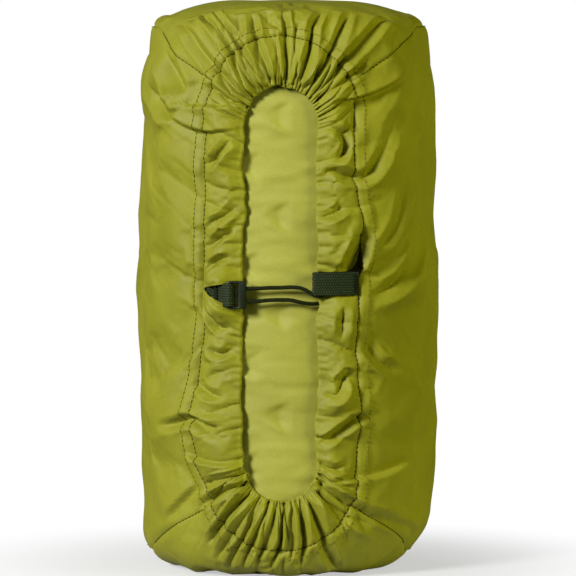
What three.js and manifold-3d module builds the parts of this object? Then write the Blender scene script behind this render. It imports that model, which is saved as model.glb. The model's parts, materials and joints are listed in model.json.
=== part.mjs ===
// Stuff sack for a rolled sleeping mat, standing on its base. Millimetres, +Z up.
// The origin is the centre of the base. The long elastic mouth faces -Y, and +X is on its right.
//
// The cover is a wrap panel (back, sides and front flanks) with an end panel at the top and at the
// bottom. A collar of folded fabric is sewn round the mouth, and an elastic cord runs in its hem. The
// collar is divided where it bends as the mouth opens: two ends and two sides, and each side has a gap
// for a webbing strap. The cord leaves the right-hand gap, crosses the mouth, passes through a moulded
// anchor on the left strap and comes back.

import * as THREE from "three";
import { mergeVertices } from "three/addons/utils/BufferGeometryUtils.js";
import Module from "manifold-3d";

// Driving dimensions
const RADIUS = 97; // outside of the filled sack
const HEIGHT = 365;
const END_ROUND = 20; // rounding between the side and each end
const FABRIC = 0.8; // a panel with its turned seam allowance
const SEAM_GAP = 0.5; // each piece stops this short of a seam line
const MID = HEIGHT / 2;

const MOUTH_HALF_WIDTH = 24;
const MOUTH_HALF_LENGTH = 131;
const SEAM_HALF_WIDTH = 48; // from the mouth's centre line to the collar seam
const SEAM_HALF_LENGTH = 163;
const MOUTH_STRAIGHT = MOUTH_HALF_LENGTH - MOUTH_HALF_WIDTH;
const SEAM_STRAIGHT = SEAM_HALF_LENGTH - SEAM_HALF_WIDTH;
const HEM_RADIUS = 1.9; // to the middle of the hem's fabric
const CORD_RADIUS = 1.25;

const MITRE_FRONT = THREE.MathUtils.degToRad(27); // azimuth where a mitre seam meets the collar
const MITRE_REAR = THREE.MathUtils.degToRad(75); // azimuth where it meets the end seam
const MITRE_DROP = 28; // how far below the end rounding it meets the collar
const END_SEAM_TURN = THREE.MathUtils.degToRad(60); // how far down the rounding the end seam runs

const WEBBING_WIDTH = 15;
const WEBBING = 1.4; // thickness of one layer
const LAYER_GAP = 0.4;
const TAB_Z = MID + 7;
const STRAP_Z = MID;
const STRAP_GAP = 9.4; // half the collar's gap at a strap

const MAT_RADIUS = 91.5;
const MAT_CORE = 14;
const MAT_LAYER = 11.4;
const MAT_PITCH = 12;
const MAT_CLEARANCE = 1.6; // between the roll and the fabric round its ends

// Colours
const GREEN = 0x8f9030;
const LIGHT_GREEN = 0xaaaa52;
const DARK_GREEN = 0x1e2a12;
const matte = (color, roughness) => new THREE.MeshStandardMaterial({ color, roughness, metalness: 0 });
const fabric = () => matte(GREEN, 0.55);
const matShell = () => matte(LIGHT_GREEN, 0.6);
const webbing = () => matte(DARK_GREEN, 0.8);
const cordCover = () => matte(DARK_GREEN, 0.7);
const moulded = () => matte(DARK_GREEN, 0.35);

const sack = new THREE.Group();

function addMesh(name, geometry, material) {
  const mesh = new THREE.Mesh(geometry, material);
  mesh.name = name;
  sack.add(mesh);
  return mesh;
}

// Evenly spaced numbers from one value to another, both included.
function range(from, to, steps) {
  const at = (_, i) => from + ((to - from) * i) / steps;
  return Array.from({ length: steps + 1 }, at);
}

// ---- The filled sack's outer surface -------------------------------------------------------------

const FLAT = RADIUS - END_ROUND; // radius of the flat part of an end
const QUARTER = (Math.PI / 2) * END_ROUND;
const MERIDIAN = 2 * (FLAT + QUARTER) + HEIGHT - 2 * END_ROUND; // from pole to pole over one side
const END_SEAM = FLAT + END_SEAM_TURN * END_ROUND;
const MITRE_END = FLAT + QUARTER + MITRE_DROP;

// Point and outward normal at an azimuth and a length down from the top's centre. Azimuth 0 is -Y, and it
// is positive towards +X.
function skin(azimuth, length) {
  const upper = length <= MERIDIAN / 2;
  const along = upper ? length : MERIDIAN - length;
  let radius = along;
  let drop = 0;
  let turn = 0;
  if (along > FLAT) {
    turn = Math.min((along - FLAT) / END_ROUND, Math.PI / 2);
    radius = FLAT + END_ROUND * Math.sin(turn);
    drop = END_ROUND * (1 - Math.cos(turn)) + Math.max(0, along - FLAT - QUARTER);
  }
  const side = Math.sin(turn);
  const up = Math.cos(turn) * (upper ? 1 : -1);
  const z = upper ? HEIGHT - drop : drop;
  return {
    point: new THREE.Vector3(radius * Math.sin(azimuth), -radius * Math.cos(azimuth), z),
    normal: new THREE.Vector3(side * Math.sin(azimuth), -side * Math.cos(azimuth), up),
  };
}

// The front surface at (x, z), with its outward normal.
function front(x, z) {
  const above = Math.max(0, Math.abs(z - MID) - (MID - END_ROUND));
  const radius = FLAT + Math.sqrt(END_ROUND ** 2 - above ** 2);
  const y = -Math.sqrt(radius ** 2 - x ** 2);
  return { point: new THREE.Vector3(x, y, z), normal: new THREE.Vector3(x, y, 0).normalize() };
}

// A closed solid between a grid of points and the same grid moved in along its normals.
// rows[i][j] is { point, normal }. closed joins the last column to the first. pole adds a centre point.
function thickSheet(rows, { closed = false, pole = null } = {}) {
  const columns = rows[0].length;
  const positions = [];
  const index = [];
  const put = ({ point, normal }, depth) => {
    const vertex = positions.length / 3;
    positions.push(...point.clone().addScaledVector(normal, -depth).toArray());
    return vertex;
  };
  const skins = [0, FABRIC].map((depth) => ({
    grid: rows.map((row) => row.map((sample) => put(sample, depth))),
    centre: pole ? put(pole, depth) : -1,
  }));
  const quad = (a, b, c, d) => index.push(a, b, c, a, c, d);
  const next = (j) => (closed ? (j + 1) % columns : j + 1);
  const spans = closed ? columns : columns - 1;
  skins.forEach(({ grid, centre }, k) => {
    for (let j = 0; j < spans; j++) {
      const rim = [grid[0][j], grid[0][next(j)]];
      if (pole) index.push(centre, ...(k ? rim.reverse() : rim));
      for (let i = 0; i + 1 < rows.length; i++) {
        const corners = [grid[i][j], grid[i + 1][j], grid[i + 1][next(j)], grid[i][next(j)]];
        quad(...(k ? corners.reverse() : corners));
      }
    }
  });
  const [outer, inner] = skins.map((s) => s.grid);
  const last = rows.length - 1;
  for (let j = 0; j < spans; j++) {
    quad(outer[last][j], inner[last][j], inner[last][next(j)], outer[last][next(j)]);
    if (!pole) quad(outer[0][next(j)], inner[0][next(j)], inner[0][j], outer[0][j]);
  }
  if (!closed) {
    const end = columns - 1;
    for (let i = 0; i < last; i++) {
      quad(outer[i][0], inner[i][0], inner[i + 1][0], outer[i + 1][0]);
      quad(outer[i + 1][end], inner[i + 1][end], inner[i][end], outer[i][end]);
    }
  }
  return new THREE.BufferGeometry()
    .setAttribute("position", new THREE.Float32BufferAttribute(positions, 3))
    .setIndex(index);
}

// ---- Wrap and end panels -------------------------------------------------------------------------

// Azimuth of the wrap's front edge at a length down the meridian, for the right side.
function wrapEdge(length) {
  const along = Math.min(length, MERIDIAN - length);
  if (along < MITRE_END) {
    const share = (along - END_SEAM) / (MITRE_END - END_SEAM);
    return MITRE_REAR + (MITRE_FRONT - MITRE_REAR) * share + SEAM_GAP / RADIUS;
  }
  const above = Math.max(0, MID - (along - FLAT - QUARTER + END_ROUND) - SEAM_STRAIGHT);
  return Math.asin((Math.sqrt(SEAM_HALF_WIDTH ** 2 - above ** 2) + 2 * SEAM_GAP) / RADIUS);
}

function wrapPanel() {
  const top = END_SEAM + SEAM_GAP;
  const lengths = [
    ...range(top, MITRE_END, 6),
    ...range(MITRE_END + 6, MITRE_END + 24, 3),
    ...range(MITRE_END + 60, MERIDIAN / 2, 2),
  ];
  const rows = [...lengths, ...lengths.slice(0, -1).reverse().map((s) => MERIDIAN - s)];
  return thickSheet(
    rows.map((length) => {
      const edge = wrapEdge(length);
      return range(edge, 2 * Math.PI - edge, 40).map((azimuth) => skin(azimuth, length));
    }),
  );
}

// Length down the meridian of an end panel's edge at an azimuth from the front.
function endPanelEdge(azimuth) {
  const turn = Math.abs(azimuth);
  if (turn >= MITRE_REAR) return END_SEAM;
  if (turn > MITRE_FRONT) {
    const share = (turn - MITRE_FRONT) / (MITRE_REAR - MITRE_FRONT);
    return MITRE_END + (END_SEAM - MITRE_END) * share;
  }
  const x = RADIUS * Math.sin(turn);
  const rise = MID - SEAM_STRAIGHT - Math.sqrt(SEAM_HALF_WIDTH ** 2 - x ** 2); // from the seam to the end
  if (rise < END_ROUND) return FLAT + END_ROUND * Math.acos(1 - rise / END_ROUND);
  return FLAT + QUARTER + rise - END_ROUND;
}

function endPanel(isTop) {
  const azimuths = [
    ...range(-Math.PI, -MITRE_REAR, 10),
    ...range(-MITRE_REAR, -MITRE_FRONT, 6).slice(1),
    ...range(-MITRE_FRONT, MITRE_FRONT, 12).slice(1),
    ...range(MITRE_FRONT, MITRE_REAR, 6).slice(1),
    ...range(MITRE_REAR, Math.PI, 10).slice(1, -1),
  ];
  const common = [FLAT / 2, FLAT, ...range(FLAT, END_SEAM - 2, 3).slice(1)];
  const at = (azimuth, length) => skin(isTop ? azimuth : -azimuth, isTop ? length : MERIDIAN - length);
  const rows = [
    ...common.map((length) => azimuths.map((azimuth) => at(azimuth, length))),
    ...[1 / 3, 2 / 3, 1].map((share) =>
      azimuths.map((azimuth) => {
        const from = END_SEAM - 2;
        return at(azimuth, from + (endPanelEdge(azimuth) - SEAM_GAP - from) * share);
      }),
    ),
  ];
  return thickSheet(rows, { closed: true, pole: at(0, 0) });
}

addMesh("wrap_panel", wrapPanel(), fabric());
addMesh("top_end_panel", endPanel(true), fabric());
addMesh("bottom_end_panel", endPanel(false), fabric());

// ---- Collar and the cord in its hem --------------------------------------------------------------

// Outline of a strip of the given thickness that follows a 2D centre line.
function ribbonOutline(centres, thickness) {
  const sides = centres.map((p, i) => {
    const before = centres[Math.max(0, i - 1)];
    const after = centres[Math.min(centres.length - 1, i + 1)];
    const along = after.clone().sub(before).normalize();
    const across = new THREE.Vector2(-along.y, along.x).multiplyScalar(thickness / 2);
    return [p.clone().add(across), p.clone().sub(across)];
  });
  return [...sides.map(([left]) => left), ...sides.map(([, right]) => right).reverse()];
}

// A solid swept through a list of closed 3D sections that all have the same number of points.
function sweptSolid(sections) {
  const count = sections[0].length;
  const positions = sections.flat().flatMap((p) => p.toArray());
  const index = [];
  for (let i = 0; i + 1 < sections.length; i++)
    for (let j = 0; j < count; j++) {
      const a = i * count + j;
      const b = i * count + ((j + 1) % count);
      index.push(a, b, b + count, a, b + count, a + count);
    }
  const flat = sections.map((section) => {
    const [origin, other] = [section[0], section[1]];
    const across = other.clone().sub(origin).normalize();
    const normal = new THREE.Vector3();
    const arms = section.map((p) => p.clone().sub(origin));
    for (let j = 1; j + 1 < count; j++) normal.add(arms[j].clone().cross(arms[j + 1]));
    normal.normalize();
    const up = normal.clone().cross(across);
    return arms.map((arm) => new THREE.Vector2(arm.dot(across), arm.dot(up)));
  });
  const ends = [flat[0], flat[flat.length - 1]].map((outline) =>
    THREE.ShapeUtils.triangulateShape(outline, []),
  );
  const lastStart = (sections.length - 1) * count;
  ends[0].forEach(([a, b, c]) => index.push(a, c, b));
  ends[1].forEach(([a, b, c]) => index.push(lastStart + a, lastStart + b, lastStart + c));
  const geometry = new THREE.BufferGeometry()
    .setAttribute("position", new THREE.Float32BufferAttribute(positions, 3))
    .setIndex(index);
  return facingOut(geometry);
}

// Turns the faces round if they point inwards.
function facingOut(geometry) {
  const p = geometry.getAttribute("position");
  const i = geometry.index.array;
  const [a, b, c] = [new THREE.Vector3(), new THREE.Vector3(), new THREE.Vector3()];
  let volume = 0;
  for (let k = 0; k < i.length; k += 3) {
    a.fromBufferAttribute(p, i[k]);
    b.fromBufferAttribute(p, i[k + 1]);
    c.fromBufferAttribute(p, i[k + 2]);
    volume += a.dot(b.cross(c));
  }
  if (volume < 0) {
    for (let k = 0; k < i.length; k += 3) [i[k + 1], i[k + 2]] = [i[k + 2], i[k + 1]];
  }
  return geometry;
}

// Mouth edge and seam at one place on the collar, as [x, z] pairs measured from the mouth's centre.
const sideStation = (side, share) => ({
  mouth: [side * MOUTH_HALF_WIDTH, MOUTH_STRAIGHT * share],
  seam: [side * SEAM_HALF_WIDTH, SEAM_STRAIGHT * share],
});
const endStation = (end, angle) => ({
  mouth: [MOUTH_HALF_WIDTH * Math.cos(angle), end * (MOUTH_STRAIGHT + MOUTH_HALF_WIDTH * Math.sin(angle))],
  seam: [SEAM_HALF_WIDTH * Math.cos(angle), end * (SEAM_STRAIGHT + SEAM_HALF_WIDTH * Math.sin(angle))],
});

// Frame of one station: origin on the seam, inward towards the mouth and outward off the sack.
function collarFrame({ mouth, seam }) {
  const from = front(seam[0], MID + seam[1]);
  const to = front(mouth[0], MID + mouth[1]);
  const across = to.point.clone().sub(from.point);
  const width = across.length();
  across.normalize();
  const outward = from.normal.clone().add(to.normal);
  outward.addScaledVector(across, -outward.dot(across)).normalize();
  return { origin: from.point, across, outward, width };
}

const HEM_TURN = THREE.MathUtils.degToRad(285);

function collarSection(station) {
  const { origin, across, outward, width } = collarFrame(station);
  const hemAt = width - HEM_RADIUS - FABRIC / 2;
  const centres = [SEAM_GAP, hemAt / 2].map((p) => new THREE.Vector2(p, -FABRIC / 2));
  for (const turn of range(0, HEM_TURN, 9))
    centres.push(
      new THREE.Vector2(
        hemAt + HEM_RADIUS * Math.sin(turn),
        -FABRIC / 2 - HEM_RADIUS * (1 - Math.cos(turn)),
      ),
    );
  return ribbonOutline(centres, FABRIC).map((p) =>
    origin.clone().addScaledVector(across, p.x).addScaledVector(outward, p.y),
  );
}

function hemCentre(station) {
  const { origin, across, outward, width } = collarFrame(station);
  return origin
    .clone()
    .addScaledVector(across, width - HEM_RADIUS - FABRIC / 2)
    .addScaledVector(outward, -FABRIC / 2 - HEM_RADIUS);
}

const collarPiece = (stations) => sweptSolid(stations.map(collarSection));

function cordAlong(points, steps) {
  const circle = new THREE.Shape().absarc(0, 0, CORD_RADIUS, 0, 2 * Math.PI);
  return new THREE.ExtrudeGeometry(circle, {
    steps,
    curveSegments: 4,
    bevelEnabled: false,
    extrudePath: new THREE.CatmullRomCurve3(points, false, "centripetal"),
  });
}

// Where a side of the collar meets an end, as a share of its half length and as an angle round the end.
const CORNER_SHARE = 1 - 1.2 / MOUTH_STRAIGHT;
const CORNER_ANGLE = 0.6 / MOUTH_HALF_WIDTH;
const shareAt = (z) => (z - MID) / MOUTH_STRAIGHT;
const endStations = (end) =>
  range(CORNER_ANGLE, Math.PI - CORNER_ANGLE, 14).map((angle) => endStation(end, angle));
const sideStations = (side, from, to) => range(from, to, 3).map((share) => sideStation(side, share));
const upperStations = (side, z) => sideStations(side, shareAt(z), CORNER_SHARE);
const lowerStations = (side, z) => sideStations(side, -CORNER_SHARE, shareAt(z));

addMesh("collar_top", collarPiece(endStations(1)), fabric());
addMesh("collar_bottom", collarPiece(endStations(-1)), fabric());
for (const [name, side, z] of [["left", -1, STRAP_Z], ["right", 1, TAB_Z]]) {
  addMesh(`collar_${name}_upper`, collarPiece(upperStations(side, z + STRAP_GAP)), fabric());
  addMesh(`collar_${name}_lower`, collarPiece(lowerStations(side, z - STRAP_GAP)), fabric());
}

const RIGHT_CORD_END = STRAP_GAP - 1;
const hemCord = (stations, steps) => cordAlong(stations.map(hemCentre), steps);
addMesh("elastic_top", hemCord(endStations(1), 16), cordCover());
addMesh("elastic_bottom", hemCord(endStations(-1), 16), cordCover());
addMesh("elastic_left", hemCord(sideStations(-1, -CORNER_SHARE, CORNER_SHARE), 6), cordCover());
addMesh("elastic_right_upper", hemCord(upperStations(1, TAB_Z + RIGHT_CORD_END), 4), cordCover());
addMesh("elastic_right_lower", hemCord(lowerStations(1, TAB_Z - RIGHT_CORD_END), 4), cordCover());

// ---- Straps, anchor and the cord across the mouth --------------------------------------------------

const ANCHOR_HEIGHT = 17.6;
const ANCHOR_THICK = 4.4;
const ANCHOR_LEFT = -33;
const STRAP_BAR = 2; // width of the bar that the strap passes round
const ANCHOR_SLOT = 5.9;
const CORD_BAR = 3.8; // width of the bar that the cord passes through
const ANCHOR_Y = -97.6;
const CORD_HALF_SPACING = 4.1;
const HOLE_RADIUS = 1.6;
const ROUND = 1.4; // outside corners of the anchor
const WEBBING_PLAY = 0.3; // between webbing or thread and what it lies against
const slotLeft = ANCHOR_LEFT + STRAP_BAR;
const slotRight = slotLeft + ANCHOR_SLOT;
const anchorRight = slotRight + CORD_BAR;

const wasm = await Module();
wasm.setup();

function toManifold(geometry) {
  const bare = geometry.clone();
  bare.deleteAttribute("normal");
  bare.deleteAttribute("uv");
  const merged = facingOut(mergeVertices(bare, 1e-4));
  return new wasm.Manifold(
    new wasm.Mesh({
      numProp: 3,
      vertProperties: new Float32Array(merged.attributes.position.array),
      triVerts: new Uint32Array(merged.index.array),
    }),
  );
}

function fromManifold(solid) {
  const mesh = solid.getMesh();
  return new THREE.BufferGeometry()
    .setAttribute("position", new THREE.BufferAttribute(new Float32Array(mesh.vertProperties), 3))
    .setIndex(new THREE.BufferAttribute(new Uint32Array(mesh.triVerts), 1));
}

// Lays an extruded outline drawn in XZ flat, centred on y.
function standOnY(geometry, thickness, y) {
  return geometry.rotateX(Math.PI / 2).translate(0, y + thickness / 2, 0);
}

function anchorBody() {
  const low = -ANCHOR_HEIGHT / 2;
  const high = ANCHOR_HEIGHT / 2;
  const outline = new THREE.Shape();
  outline.moveTo(ANCHOR_LEFT + ROUND, low);
  outline.lineTo(anchorRight - ROUND, low);
  outline.absarc(anchorRight - ROUND, low + ROUND, ROUND, -Math.PI / 2, 0);
  outline.absarc(anchorRight - ROUND, high - ROUND, ROUND, 0, Math.PI / 2);
  outline.absarc(ANCHOR_LEFT + ROUND, high - ROUND, ROUND, Math.PI / 2, Math.PI);
  outline.absarc(ANCHOR_LEFT + ROUND, low + ROUND, ROUND, Math.PI, 1.5 * Math.PI);
  const slotHalf = WEBBING_WIDTH / 2 + WEBBING_PLAY;
  const slot = new THREE.Path();
  slot.moveTo(slotLeft, -slotHalf);
  slot.lineTo(slotLeft, slotHalf);
  slot.lineTo(slotRight, slotHalf);
  slot.lineTo(slotRight, -slotHalf);
  slot.closePath();
  outline.holes.push(slot);
  const shape = { depth: ANCHOR_THICK, bevelEnabled: false, curveSegments: 5 };
  const frame = standOnY(new THREE.ExtrudeGeometry(outline, shape), ANCHOR_THICK, 0);
  let solid = toManifold(frame);
  for (const side of [-1, 1]) {
    const drill = new THREE.CylinderGeometry(HOLE_RADIUS, HOLE_RADIUS, 2 * CORD_BAR, 16)
      .rotateZ(Math.PI / 2)
      .translate(slotRight + CORD_BAR / 2, 0, side * CORD_HALF_SPACING);
    solid = solid.subtract(toManifold(drill));
  }
  return fromManifold(solid);
}

addMesh("cord_anchor", anchorBody(), moulded()).position.set(0, ANCHOR_Y, STRAP_Z);

// A strip of webbing drawn as a centre line in plan, WEBBING_WIDTH tall.
function webbingStrip(centres, z) {
  const outline = new THREE.Shape(ribbonOutline(centres, WEBBING));
  const strip = new THREE.ExtrudeGeometry(outline, { depth: WEBBING_WIDTH, bevelEnabled: false });
  return strip.translate(0, 0, z - WEBBING_WIDTH / 2);
}

const planPoint = (radius, azimuth) =>
  new THREE.Vector2(radius * Math.sin(azimuth), -radius * Math.cos(azimuth));
const half = WEBBING / 2 + LAYER_GAP / 2;

// Left strap: out of the collar seam, over the anchor's bar, round it and back under itself.
const CLOSE_AT = 7; // its two layers come together this far before the bar
const CLOSE_BACK = 1.2; // and this far behind the anchor's middle
const BEND = 1.2; // length of the rounded corner on each side of the bar
const BEND_STEP = [0.7, 0.2]; // and the corner's middle point, back from its sharp corner
function leftStrap() {
  const seamAzimuth = -Math.asin((SEAM_HALF_WIDTH - SEAM_GAP) / RADIUS);
  const root = planPoint(RADIUS + FABRIC + WEBBING, seamAzimuth);
  const barX = (ANCHOR_LEFT + slotLeft) / 2;
  const over = ANCHOR_THICK / 2 + WEBBING_PLAY + WEBBING / 2;
  const around = barX + STRAP_BAR / 2 + WEBBING_PLAY + WEBBING / 2;
  // side is -1 for the layer in front of the anchor and 1 for the layer behind it
  const layer = (side) => [
    new THREE.Vector2(root.x, root.y + side * half),
    new THREE.Vector2(barX - CLOSE_AT, ANCHOR_Y + CLOSE_BACK + side * half),
    new THREE.Vector2(barX - BEND, ANCHOR_Y + side * over),
    new THREE.Vector2(around - BEND_STEP[0], ANCHOR_Y + side * (over - BEND_STEP[1])),
    new THREE.Vector2(around, ANCHOR_Y + side * (over - BEND)),
  ];
  return [...layer(-1), ...layer(1).reverse()];
}

// Right pull tab: a doubled strip that lies over the collar's gap with its fold at the mouth.
const TAB_RADIUS = RADIUS + 2.6; // to the middle between its two layers
const TAB_PAST_SEAM = 0.8;
const TAB_PAST_MOUTH = 2;
const TAB_ROOT = Math.asin((SEAM_HALF_WIDTH + TAB_PAST_SEAM) / TAB_RADIUS);
const TAB_TIP = Math.asin((MOUTH_HALF_WIDTH - TAB_PAST_MOUTH) / TAB_RADIUS);

function rightTab() {
  const azimuths = range(TAB_ROOT, TAB_TIP, 5);
  return [
    ...azimuths.map((a) => planPoint(TAB_RADIUS - half, a)),
    planPoint(TAB_RADIUS, TAB_TIP - half / TAB_RADIUS),
    ...azimuths.reverse().map((a) => planPoint(TAB_RADIUS + half, a)),
  ];
}

addMesh("webbing_strap_left", webbingStrip(leftStrap(), STRAP_Z), webbing());
addMesh("webbing_tab_right", webbingStrip(rightTab(), TAB_Z), webbing());

// A bar of dense stitching, lying on the face of a strap.
const TACK_WIDTH = 2.4;
const TACK_HEIGHT = 12;
const TACK_THICK = 0.5;
const TACK_LIFT = WEBBING / 2 + TACK_THICK / 2 + WEBBING_PLAY; // above the middle of the layer it is sewn to
const TAB_TACK_SHARE = 0.1; // how far from the seam to the tab's tip
const STRAP_TACK_SHARE = 0.86; // how far along the strap's first straight run

// Lays a bar tack off a point in plan, on the outside of a strap that runs at this angle.
function barTack(name, onStrap, turn, z) {
  const tack = addMesh(name, new THREE.BoxGeometry(TACK_WIDTH, TACK_THICK, TACK_HEIGHT), cordCover());
  tack.position.set(onStrap.x + TACK_LIFT * Math.sin(turn), onStrap.y - TACK_LIFT * Math.cos(turn), z);
  tack.rotation.z = turn;
}
const tabTurn = THREE.MathUtils.lerp(TAB_ROOT, TAB_TIP, TAB_TACK_SHARE);
barTack("bartack_right", planPoint(TAB_RADIUS + half, tabTurn), tabTurn, TAB_Z);
const [strapStart, strapBend] = leftStrap();
const strapTurn = strapBend.clone().sub(strapStart).angle();
barTack("bartack_left", strapStart.clone().lerp(strapBend, STRAP_TACK_SHARE), strapTurn, STRAP_Z);

// The cord's crossing: out of the upper right hem, over to the anchor, through it and back to the lower hem.
const CORD_END_GAP = 0.8; // between the crossing's ends and the cord in the hem
const CORD_BEND = { start: 0.9, turn: 0.3, tip: 2.2 }; // its rounding behind the anchor
function crossCord() {
  const hemEnd = (z) => hemCentre(sideStation(1, shareAt(z)));
  const upper = hemEnd(TAB_Z + RIGHT_CORD_END - CORD_END_GAP);
  const lower = hemEnd(TAB_Z - RIGHT_CORD_END + CORD_END_GAP);
  const strand = (x, z) => new THREE.Vector3(x, ANCHOR_Y, z);
  const high = STRAP_Z + CORD_HALF_SPACING;
  const low = STRAP_Z - CORD_HALF_SPACING;
  const behind = slotRight - CORD_RADIUS - CORD_END_GAP;
  return [
    upper,
    upper.clone().add(new THREE.Vector3(-0.6, 0, -3)), // it drops out of the hem
    strand(14, high + 0.6), // and sags a little on the way over
    strand(0, high + 0.2),
    strand(anchorRight + 1, high),
    strand(slotRight, high),
    strand(slotRight - CORD_BEND.start, high - CORD_BEND.turn),
    strand(behind, high - CORD_BEND.tip),
    strand(behind, low + CORD_BEND.tip),
    strand(slotRight - CORD_BEND.start, low + CORD_BEND.turn),
    strand(slotRight, low),
    strand(anchorRight + 1, low),
    strand(0, low),
    strand(13, low + 0.2),
    lower.clone().add(new THREE.Vector3(-0.8, -0.4, 2.6)), // and up into the lower hem
    lower,
  ];
}
addMesh("cross_cord", cordAlong(crossCord(), 70), cordCover());

// The cord's two ends are tied together under the pull tab.
const KNOT_RADIUS = 1.7;
const KNOT_CORD = 0.75; // radius of the pulled-down cord in it
const KNOT_DEPTH = 2.2; // below the sack's surface
const KNOT_IN = 9; // from the mouth's edge
const KNOT_DROP = 0.5; // below the tab's middle
const knotShape = new THREE.TorusKnotGeometry(KNOT_RADIUS, KNOT_CORD, 40, 6, 2, 3);
const knot = addMesh("cord_knot", knotShape, cordCover());
const knotAt = planPoint(RADIUS - KNOT_DEPTH, Math.asin((MOUTH_HALF_WIDTH + KNOT_IN) / RADIUS));
knot.position.set(knotAt.x, knotAt.y, TAB_Z - KNOT_DROP);
knot.rotation.set(Math.PI / 2, 0, 0);

// ---- The rolled mat -------------------------------------------------------------------------------

// One sheet rolled from its core outwards. Each turn's corners line up with the turn inside it, and the
// last turn is held to the roll's radius, so the roll is round.
const MAT_CORNERS = 26; // corners in one turn

function matOutline() {
  const step = (2 * Math.PI) / MAT_CORNERS;
  const turns = (MAT_RADIUS - 1 + MAT_LAYER / 2 - MAT_CORE) / MAT_PITCH;
  const count = Math.round(turns * MAT_CORNERS);
  const finish = Math.PI / 2; // the outer end finishes at the back
  const side = (offset, limit) =>
    range(0, count, count).map((i) => {
      const angle = finish + (i - count) * step;
      const radius = Math.min(MAT_CORE + (MAT_PITCH * i) / MAT_CORNERS + offset, limit);
      return new THREE.Vector2(radius * Math.cos(angle), radius * Math.sin(angle));
    });
  return [...side(MAT_LAYER / 2, MAT_RADIUS), ...side(-MAT_LAYER / 2, MAT_RADIUS - 1).reverse()];
}

// The space inside the cover, as a turned solid that trims the roll's ends round.
function roomInside() {
  const gap = FABRIC + MAT_CLEARANCE;
  const round = END_ROUND - gap;
  const profile = [new THREE.Vector2(0, gap)];
  for (const turn of range(0, Math.PI / 2, 5))
    profile.push(new THREE.Vector2(FLAT + round * Math.sin(turn), END_ROUND - round * Math.cos(turn)));
  const upper = profile.map((p) => new THREE.Vector2(p.x, HEIGHT - p.y)).reverse();
  return new THREE.LatheGeometry([...profile, ...upper], 48).rotateX(Math.PI / 2);
}

function matRoll() {
  const outline = new THREE.Shape(matOutline());
  const roll = new THREE.ExtrudeGeometry(outline, { depth: HEIGHT, bevelEnabled: false });
  return fromManifold(toManifold(roll).intersect(toManifold(roomInside())));
}

addMesh("mat_roll", matRoll(), matShell());

export default sack;
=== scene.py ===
# Stuff sack: fabric, cord, webbing and rolled mat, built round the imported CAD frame.
#
# The frame is in metres, +Z up, with the mouth facing -Y. Lengths here are millimetres, and make_mesh()
# turns them into metres. The cover is worked out on a flat map of the filled sack, then wrapped round it
# and displaced along its normals by one fold field, so that pieces that meet at a seam agree there.

import json
import math

import bmesh
import bpy
import numpy as np
from mathutils import Euler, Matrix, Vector


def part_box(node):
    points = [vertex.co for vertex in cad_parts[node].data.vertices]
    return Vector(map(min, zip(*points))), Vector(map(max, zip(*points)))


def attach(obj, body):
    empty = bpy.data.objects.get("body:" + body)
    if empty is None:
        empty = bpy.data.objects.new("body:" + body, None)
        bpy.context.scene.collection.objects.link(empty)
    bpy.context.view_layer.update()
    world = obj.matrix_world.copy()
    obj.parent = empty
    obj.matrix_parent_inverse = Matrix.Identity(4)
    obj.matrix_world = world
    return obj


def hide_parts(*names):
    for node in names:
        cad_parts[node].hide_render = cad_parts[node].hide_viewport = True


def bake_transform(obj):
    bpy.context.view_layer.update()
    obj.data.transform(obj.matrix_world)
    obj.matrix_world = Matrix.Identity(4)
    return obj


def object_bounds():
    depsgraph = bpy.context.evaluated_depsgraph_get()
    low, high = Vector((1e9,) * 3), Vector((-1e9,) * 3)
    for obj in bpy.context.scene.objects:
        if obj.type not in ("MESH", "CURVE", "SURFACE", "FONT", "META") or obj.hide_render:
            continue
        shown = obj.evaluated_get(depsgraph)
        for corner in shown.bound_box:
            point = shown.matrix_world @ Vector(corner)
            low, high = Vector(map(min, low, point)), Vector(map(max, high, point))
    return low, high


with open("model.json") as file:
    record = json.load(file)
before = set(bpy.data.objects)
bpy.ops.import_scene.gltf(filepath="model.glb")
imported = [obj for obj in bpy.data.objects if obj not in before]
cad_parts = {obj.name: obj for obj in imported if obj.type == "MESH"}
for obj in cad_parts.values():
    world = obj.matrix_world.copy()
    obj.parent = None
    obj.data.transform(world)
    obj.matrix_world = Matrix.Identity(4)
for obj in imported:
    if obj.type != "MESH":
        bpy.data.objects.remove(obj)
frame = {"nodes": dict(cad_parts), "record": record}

CAD_BOX = [list(corner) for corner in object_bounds()]

MM = 0.001


def cad_box(node):
    """Lowest and highest corner of a CAD node, in millimetres."""
    return tuple(np.array(corner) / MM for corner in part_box(node))


# ---- Driving dimensions, from the frame ----------------------------------------------------------

FABRIC = 0.5
COLLAR_FABRIC = 0.4
RADIUS = CAD_BOX[1][0] / MM
HEIGHT = CAD_BOX[1][2] / MM
MID = HEIGHT / 2
END_ROUND = 20.0
FLAT = RADIUS - END_ROUND
QUARTER = math.pi / 2 * END_ROUND
MERIDIAN = 2 * (FLAT + QUARTER) + HEIGHT - 2 * END_ROUND

# The mouth and the collar seam round it are both straight-sided ovals, seen from the front.
SEAM_HALF_WIDTH = 48.0
SEAM_STRAIGHT = 115.0
MOUTH_HALF_WIDTH = 24.0
MOUTH_STRAIGHT = 107.0
HEM_RADIUS = 1.9
SEAM_RANGE = SEAM_HALF_WIDTH - MOUTH_HALF_WIDTH

# A mitre seam leaves the collar seam at MITRE_FOOT round its end, and joins the end seam at MITRE_REAR.
MITRE_FOOT = math.radians(23.6)
MITRE_FRONT = math.radians(27)
MITRE_REAR = math.radians(75)
MITRE_END = FLAT + QUARTER + 28
END_SEAM = FLAT + math.radians(60) * END_ROUND

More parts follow.
